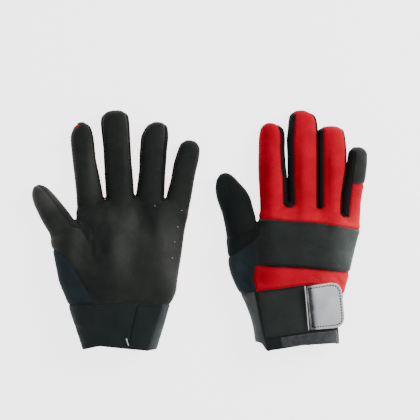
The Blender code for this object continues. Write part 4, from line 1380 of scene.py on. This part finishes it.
def bead(a, b, normal, radius):
    """Vertices and faces of one stitch that lies between two points."""
    along = (b - a) / max(np.linalg.norm(b - a), 1e-9)
    up = normal - along * (normal @ along)
    up /= max(np.linalg.norm(up), 1e-9)
    across = np.cross(along, up)
    sides = STITCH_SIDES
    points = [a]
    for share, size in ((0.18, 0.8), (0.5, 1.0), (0.82, 0.8)):
        centre = a + (b - a) * share + up * radius * 0.4
        for k in range(sides):
            angle = math.tau * k / sides
            points.append(centre + (across * math.cos(angle) + up * math.sin(angle)) * radius * size)
    points.append(b)
    faces = []
    for k in range(sides):
        n = (k + 1) % sides
        faces.append((0, 1 + n, 1 + k))
        for ring in (1, 1 + sides):
            faces.append((ring + k, ring + n, ring + sides + n, ring + sides + k))
        faces.append((1 + 3 * sides, 1 + 2 * sides + k, 1 + 2 * sides + n))
    return points, faces


def row_of_beads(name, beads, material):
    """One piece from many stitches."""
    points, faces = [], []
    for more, rings in beads:
        faces += [tuple(v + len(points) for v in ring) for ring in rings]
        points += more
    return trim_piece(name, points, faces, material)


def stitches(name, path, normals, material, pitch, length, radius, lift=0.05):
    """A row of thread along a path of points, one closed bead to a stitch."""
    steps = np.linalg.norm(np.diff(path, axis=0), axis=1)
    run = np.concatenate([[0.0], np.cumsum(steps)])

    def along(rows, place):
        return np.array([np.interp(place, run, rows[:, k]) for k in range(3)])

    beads = []
    for start in np.arange(0.4, run[-1] - length, pitch):
        normal = along(normals, start + length / 2.0)
        a, b = (along(path, place) + normal * lift for place in (start, start + length))
        beads.append(bead(a, b, normal, radius))
    return row_of_beads(name, beads, material)


def tube(name, path, radius, material, sides=10):
    """A closed cord along a path, with rounded ends."""
    along = np.gradient(path, axis=0)
    along /= np.linalg.norm(along, axis=1, keepdims=True)
    up = np.tile(np.array((0.0, 0.0, 1.0)), (len(path), 1))
    across = np.cross(along, up)
    across /= np.linalg.norm(across, axis=1, keepdims=True)
    up = np.cross(across, along)
    points = [path[0] - along[0] * radius * 0.6]
    for k, centre in enumerate(path):
        size = radius * (0.75 if k in (0, len(path) - 1) else 1.0)
        for s in range(sides):
            angle = math.tau * s / sides
            points.append(centre + (across[k] * math.cos(angle) + up[k] * math.sin(angle)) * size)
    points.append(path[-1] + along[-1] * radius * 0.6)
    faces = []
    last = 1 + (len(path) - 1) * sides
    for s in range(sides):
        n = (s + 1) % sides
        faces.append((0, 1 + s, 1 + n))
        for k in range(len(path) - 1):
            a = 1 + k * sides
            faces.append((a + s, a + sides + s, a + sides + n, a + n))
        faces.append((len(points) - 1, last + n, last + s))
    return trim_piece(name, points, faces, material)


def settle(path, normals, piece):
    """The path dropped onto the finished outer face of a piece."""
    mesh = piece.data
    tree = BVHTree.FromPolygons([v.co / MM for v in mesh.vertices], [f.vertices for f in mesh.polygons])
    result = path.copy()
    for index, (point, normal) in enumerate(zip(path, normals)):
        hit = tree.ray_cast(Vector(point + normal * SETTLE_REACH), Vector(-normal), 2.0 * SETTLE_REACH)[0]
        if hit is not None:
            result[index] = hit
    return result


def along_outline(outline, distance, base, face, profile):
    """A closed path on a patch's top, this far inside its edge."""
    path = inset(outline, distance)
    path = np.concatenate([path, path[:1]])
    points, normals = base.at(path[:, 0], path[:, 1], face)
    height = profile(np.full(len(path), distance))
    return points + normals * height[:, None], normals


# What is sewn to each hand: corners in plan, in order, their radii, and 1 for above or -1 for below.
SEWN = {
    "left": {
        "strap_anchor": (((-62, -74.2), (-71, -117.2), (-51.8, -119.2), (-37.6, -75.6)), 1.2, 1.0),
        "wrist_strap": (((-121, -60), (-77.5, -57), (-77.5, -100), (-112, -104)), 1.5, -1.0),
        "loop_patch": (((-75, -60), (-42, -64), (-46, -112), (-75, -112)), 2, -1.0),
    },
    "right": {
        "wrist_strap": (((57.6, -62.3), (104.0, -56.0), (108.0, -101.2), (65.5, -107.5)), 1.2, 1.0),
        "loop_patch": (((109, -60), (134, -62), (134, -98), (110, -98)), 2, 1.0),
        "loop_hem": (((80, -106.6), (109, -102.4), (136.3, -99.6), (137.2, -112.6), (104, -113.6),
                      (82, -116.0)), (1.5, 6, 1.5, 1.5, 6, 1.5), 1.0),
        "strap_anchor": (((106, -74.6), (129, -75), (123, -113), (104, -113.4)), 1.2, -1.0),
    },
}
SEWN_LOOKS = {"strap_anchor": ("neoprene", 1.1), "wrist_strap": ("strap", 1.3), "loop_patch": ("loop", 0.8),
              "loop_hem": ("loop", 0.8)}
SEWN_STITCH = 2.4      # the stitches' distance from the edge
# Rows of stitches: pitch, length and radius of a stitch, and how far it stands off.
SEWN_THREAD = (2.6, 1.7, 0.2)
SEAM_THREAD = (2.6, 1.8, 0.22)
TAB_THREAD = (2.8, 1.9, 0.7, -0.1)
# The pull tabs: outline in their own plane, from the sewn edge outwards.
TAB_CORNERS = {"left": ((0.4, 20.4), (37.6, 20.4), (37.6, -20.4), (0.4, -20.4)),
               "right": ((0.2, 21.6), (36.2, 23.4), (36.2, -22.2), (0.6, -22.0))}
TAB_RADII = (1.5, 12.0, 11.0, 2.0)
TAB_LEAN = {"left": 3.0, "right": 5.5}
TAB_DROOP = {"left": 0.0, "right": 8.0}
TAB_THICKNESS = 1.9
TAB_PUFF = 1.0
TAB_SHADE = (3.2, 3.6)     # the painted shade beside the sewn edge: where it starts to fade, and over what length
TAB_STITCH = 2.6
HOOK_LAYER = 0.9
HOOK_INSET = 3.4
# Vent tacks of the left palm, and the corners of its blank care label.
TACKS = ((-18.4, 19.4), (-22.1, 3.2), (-25.1, -11.7), (-27.6, -27.8), (-95, 30.5), (-45, 24))
LABEL_CORNERS = ((-73.6, -107.4), (-72.3, -107.4), (-70.1, -114.4), (-71.3, -114.6))
# Rows of stitches on each hand's upper face: name, line, first and last x, points, offset from the line.
SEAM_RUNS = {
    "left": (("wrist", "palm_wrist", -103, -64, 40, -1.8), ("hem", "mouth", -112, -73, 40, 2.6)),
    "right": (("band_top", "band_high", 63, 155, 80, -2.4), ("band_bottom", "band_low", 58, 147, 80, 2.4),
              ("wrist", "back_wrist", 60, 102, 40, 1.5), ("hem", "mouth", 68, 136, 60, 2.4)),
}


def add_sewn(side, ground, materials):
    for label, (corners, radii, face) in SEWN[side].items():
        look, thickness = SEWN_LOOKS[label]
        outline = rounded(corners, radii)
        profile = slab(thickness, 0.9, groove=SEWN_STITCH, depth=0.3)
        piece = patch(f"{side}_{label}_skin", outline, ground, face, profile, materials[look])
        node = f"{side}_{label}"
        if node in frame["nodes"]:
            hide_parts(node)
        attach(piece, f"{side}_hand")
        path, normals = along_outline(outline, SEWN_STITCH, ground, face, profile)
        path = settle(path, normals, piece)
        path[:, 2] = np.maximum(path[:, 2], 0.3)
        thread = stitches(f"{side}_{label}_stitches", path, normals, materials["dark_thread"], *SEWN_THREAD)
        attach(thread, f"{side}_hand")


def tab_painted_shade(flat):
    """Painted shade beside a tab's sewn edge, as a negative painted light and shade value."""
    start, length = TAB_SHADE
    return -1.3 * np.exp(-(np.maximum(flat[:, 0] - start, 0.0) / length) ** 2)


def add_tab(side, materials):
    joint = joint_named(f"{side}_tab_peel")
    place = Matrix.Translation(Vector(joint["pos_m"]) / MM)
    place = place @ Matrix.Rotation(math.radians(TAB_LEAN[side]), 4, "Z")
    place = place @ Matrix.Rotation(math.radians(TAB_DROOP[side]), 4, "Y")
    outline = rounded(TAB_CORNERS[side], TAB_RADII)
    up = side == "right"
    if not up:
        place = place @ Matrix.Translation((0.0, 0.0, TAB_THICKNESS + 0.3))
    base = Plane(place, 1.0 if up else 0.0)
    face = 1.0 if up else -1.0
    profile = slab(TAB_THICKNESS - HOOK_LAYER, 1.2, TAB_PUFF, TAB_STITCH + 0.4, TAB_STITCH, 0.45)
    piece = patch(f"{side}_pull_tab_pad", outline, base, face, profile, materials["tab"], sink=-0.05,
                  pressure=TAB_PRESSURE, held=TAB_STITCH + 0.6, painted_light_shade=tab_painted_shade)
    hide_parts(f"{side}_pull_tab")
    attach(piece, f"{side}_tab")
    path, normals = along_outline(outline, TAB_STITCH, base, face, profile)
    path = settle(path, normals, piece)
    thread = stitches(f"{side}_tab_stitches", path, normals, materials["thread"], *TAB_THREAD)
    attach(thread, f"{side}_tab")
    low, high = TAB_CORNERS[side][3], TAB_CORNERS[side][0]
    edge = np.linspace((-1.1, low[1] + 0.4), (-0.7, high[1] + 0.4), 24)
    points, normals = base.at(edge[:, 0], edge[:, 1], face)
    cord = tube(f"{side}_tab_piping", points + normals * 0.75, 0.6, materials["piping"])
    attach(cord, f"{side}_tab")
    under = patch(f"{side}_hook_patch_skin", inset(outline, HOOK_INSET), base, -face, slab(HOOK_LAYER, 0.5),
                  materials["hook"], sink=-0.05)
    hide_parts(f"{side}_hook_patch")
    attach(under, f"{side}_tab")


def add_marks(ground, materials):
    """Vent tacks and the blank care label of the left glove's palm."""
    beads = []
    for x, y in TACKS:
        spots, normals = ground.at((x - 0.5, x + 0.5), (y + 0.3, y - 0.3), face=1.0)
        beads.append(bead(*(spots + normals * 0.1), normals[0], 0.42))
    piece = row_of_beads("left_palm_tacks", beads, materials["piping"])
    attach(piece, "left_hand")
    label = rounded(LABEL_CORNERS, 0.3, 0.6)
    piece = patch("left_care_label_edge", label, ground, 1.0, slab(1.5, 0.3), materials["label"])
    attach(piece, "left_hand")


def add_seam_threads(side, body, ground, materials):
    """Stitching along the wrist seam, the hem and the edges of the knuckle band."""
    for name, line, first, last, count, offset in SEAM_RUNS[side]:
        x = np.linspace(first, last, count)
        points, normals = ground.at(x, body.lines[line](x) + offset, 1.0)
        thread = stitches(f"{side}_{name}_stitches", points, normals, materials["dark_thread"], *SEAM_THREAD)
        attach(thread, f"{side}_hand")


# ---- stage ----
VIEW_CENTRE = (0.010, 0.020, 0.018)    # in metres, as are the view's width and the lights' places
VIEW_WIDTH = 0.42
LENS = 200.0
SENSOR = 36.0
FLOOR_GLOW = 3.0       # a light table, so that the gloves stand on white
FLOOR_HALF = 3000.0
FLOOR_DROP = 0.4
# Area lights that face the middle of the scene: place, size, power.
LIGHTS = {"key_light": ((1.0, 0.5, 1.0), 0.7, 20.0), "fill_light": ((-0.9, -0.3, 1.1), 1.2, 3.5),
          "top_light": ((0.1, -0.1, 1.9), 1.0, 9.0)}


def add_camera():
    camera = bpy.data.objects.new("camera", bpy.data.cameras.new("camera"))
    camera.data.lens = LENS
    camera.data.sensor_width = SENSOR
    x, y, z = VIEW_CENTRE
    camera.location = (x, y, z + VIEW_WIDTH * LENS / SENSOR)
    bpy.context.scene.collection.objects.link(camera)
    bpy.context.scene.camera = camera


def add_floor():
    corners = np.array([(-1, -1, 0), (1, -1, 0), (1, 1, 0), (-1, 1, 0)], float) * FLOOR_HALF
    floor = make_mesh("floor", corners, [(0, 1, 2, 3)])
    floor.location.z = -FLOOR_DROP * MM
    nodes = Nodes("floor_paper")
    fibre = nodes.noise(nodes.add("ShaderNodeTexCoord").outputs["Object"], 400.0, 2.0)
    paper = nodes.mix(fibre, (0.84, 0.84, 0.84), (0.88, 0.88, 0.88))
    nodes.finish(paper, 0.9, nodes.bump(fibre, 0.0001, 0.1), specular=0.1)
    nodes.feed(nodes.shader.inputs["Emission Color"], (1.0, 1.0, 1.0))
    nodes.feed(nodes.shader.inputs["Emission Strength"], FLOOR_GLOW)
    floor.data.materials.append(nodes.material)


def add_lights():
    for name, (place, size, power) in LIGHTS.items():
        light = bpy.data.objects.new(name, bpy.data.lights.new(name, "AREA"))
        light.data.size = size
        light.data.energy = power
        light.location = place
        light.rotation_euler = (-Vector(place)).to_track_quat("-Z", "Y").to_euler()
        bpy.context.scene.collection.objects.link(light)
    world = bpy.data.worlds.new("soft_grey")
    world.use_nodes = True
    sky = world.node_tree.nodes["Background"]
    sky.inputs["Color"].default_value = (0.9, 0.92, 0.95, 1.0)
    sky.inputs["Strength"].default_value = 0.25
    bpy.context.scene.world = world


def write_sizes():
    import json


def main():
    add_camera()
    add_floor()
    add_lights()
    materials = palette()
    for side in SIDES:
        body, ground = build_glove(side, materials)
        add_sewn(side, ground, materials)
        add_tab(side, materials)
        add_seam_threads(side, body, ground, materials)
        if side == "left":
            add_marks(ground, materials)
    write_sizes()


main()
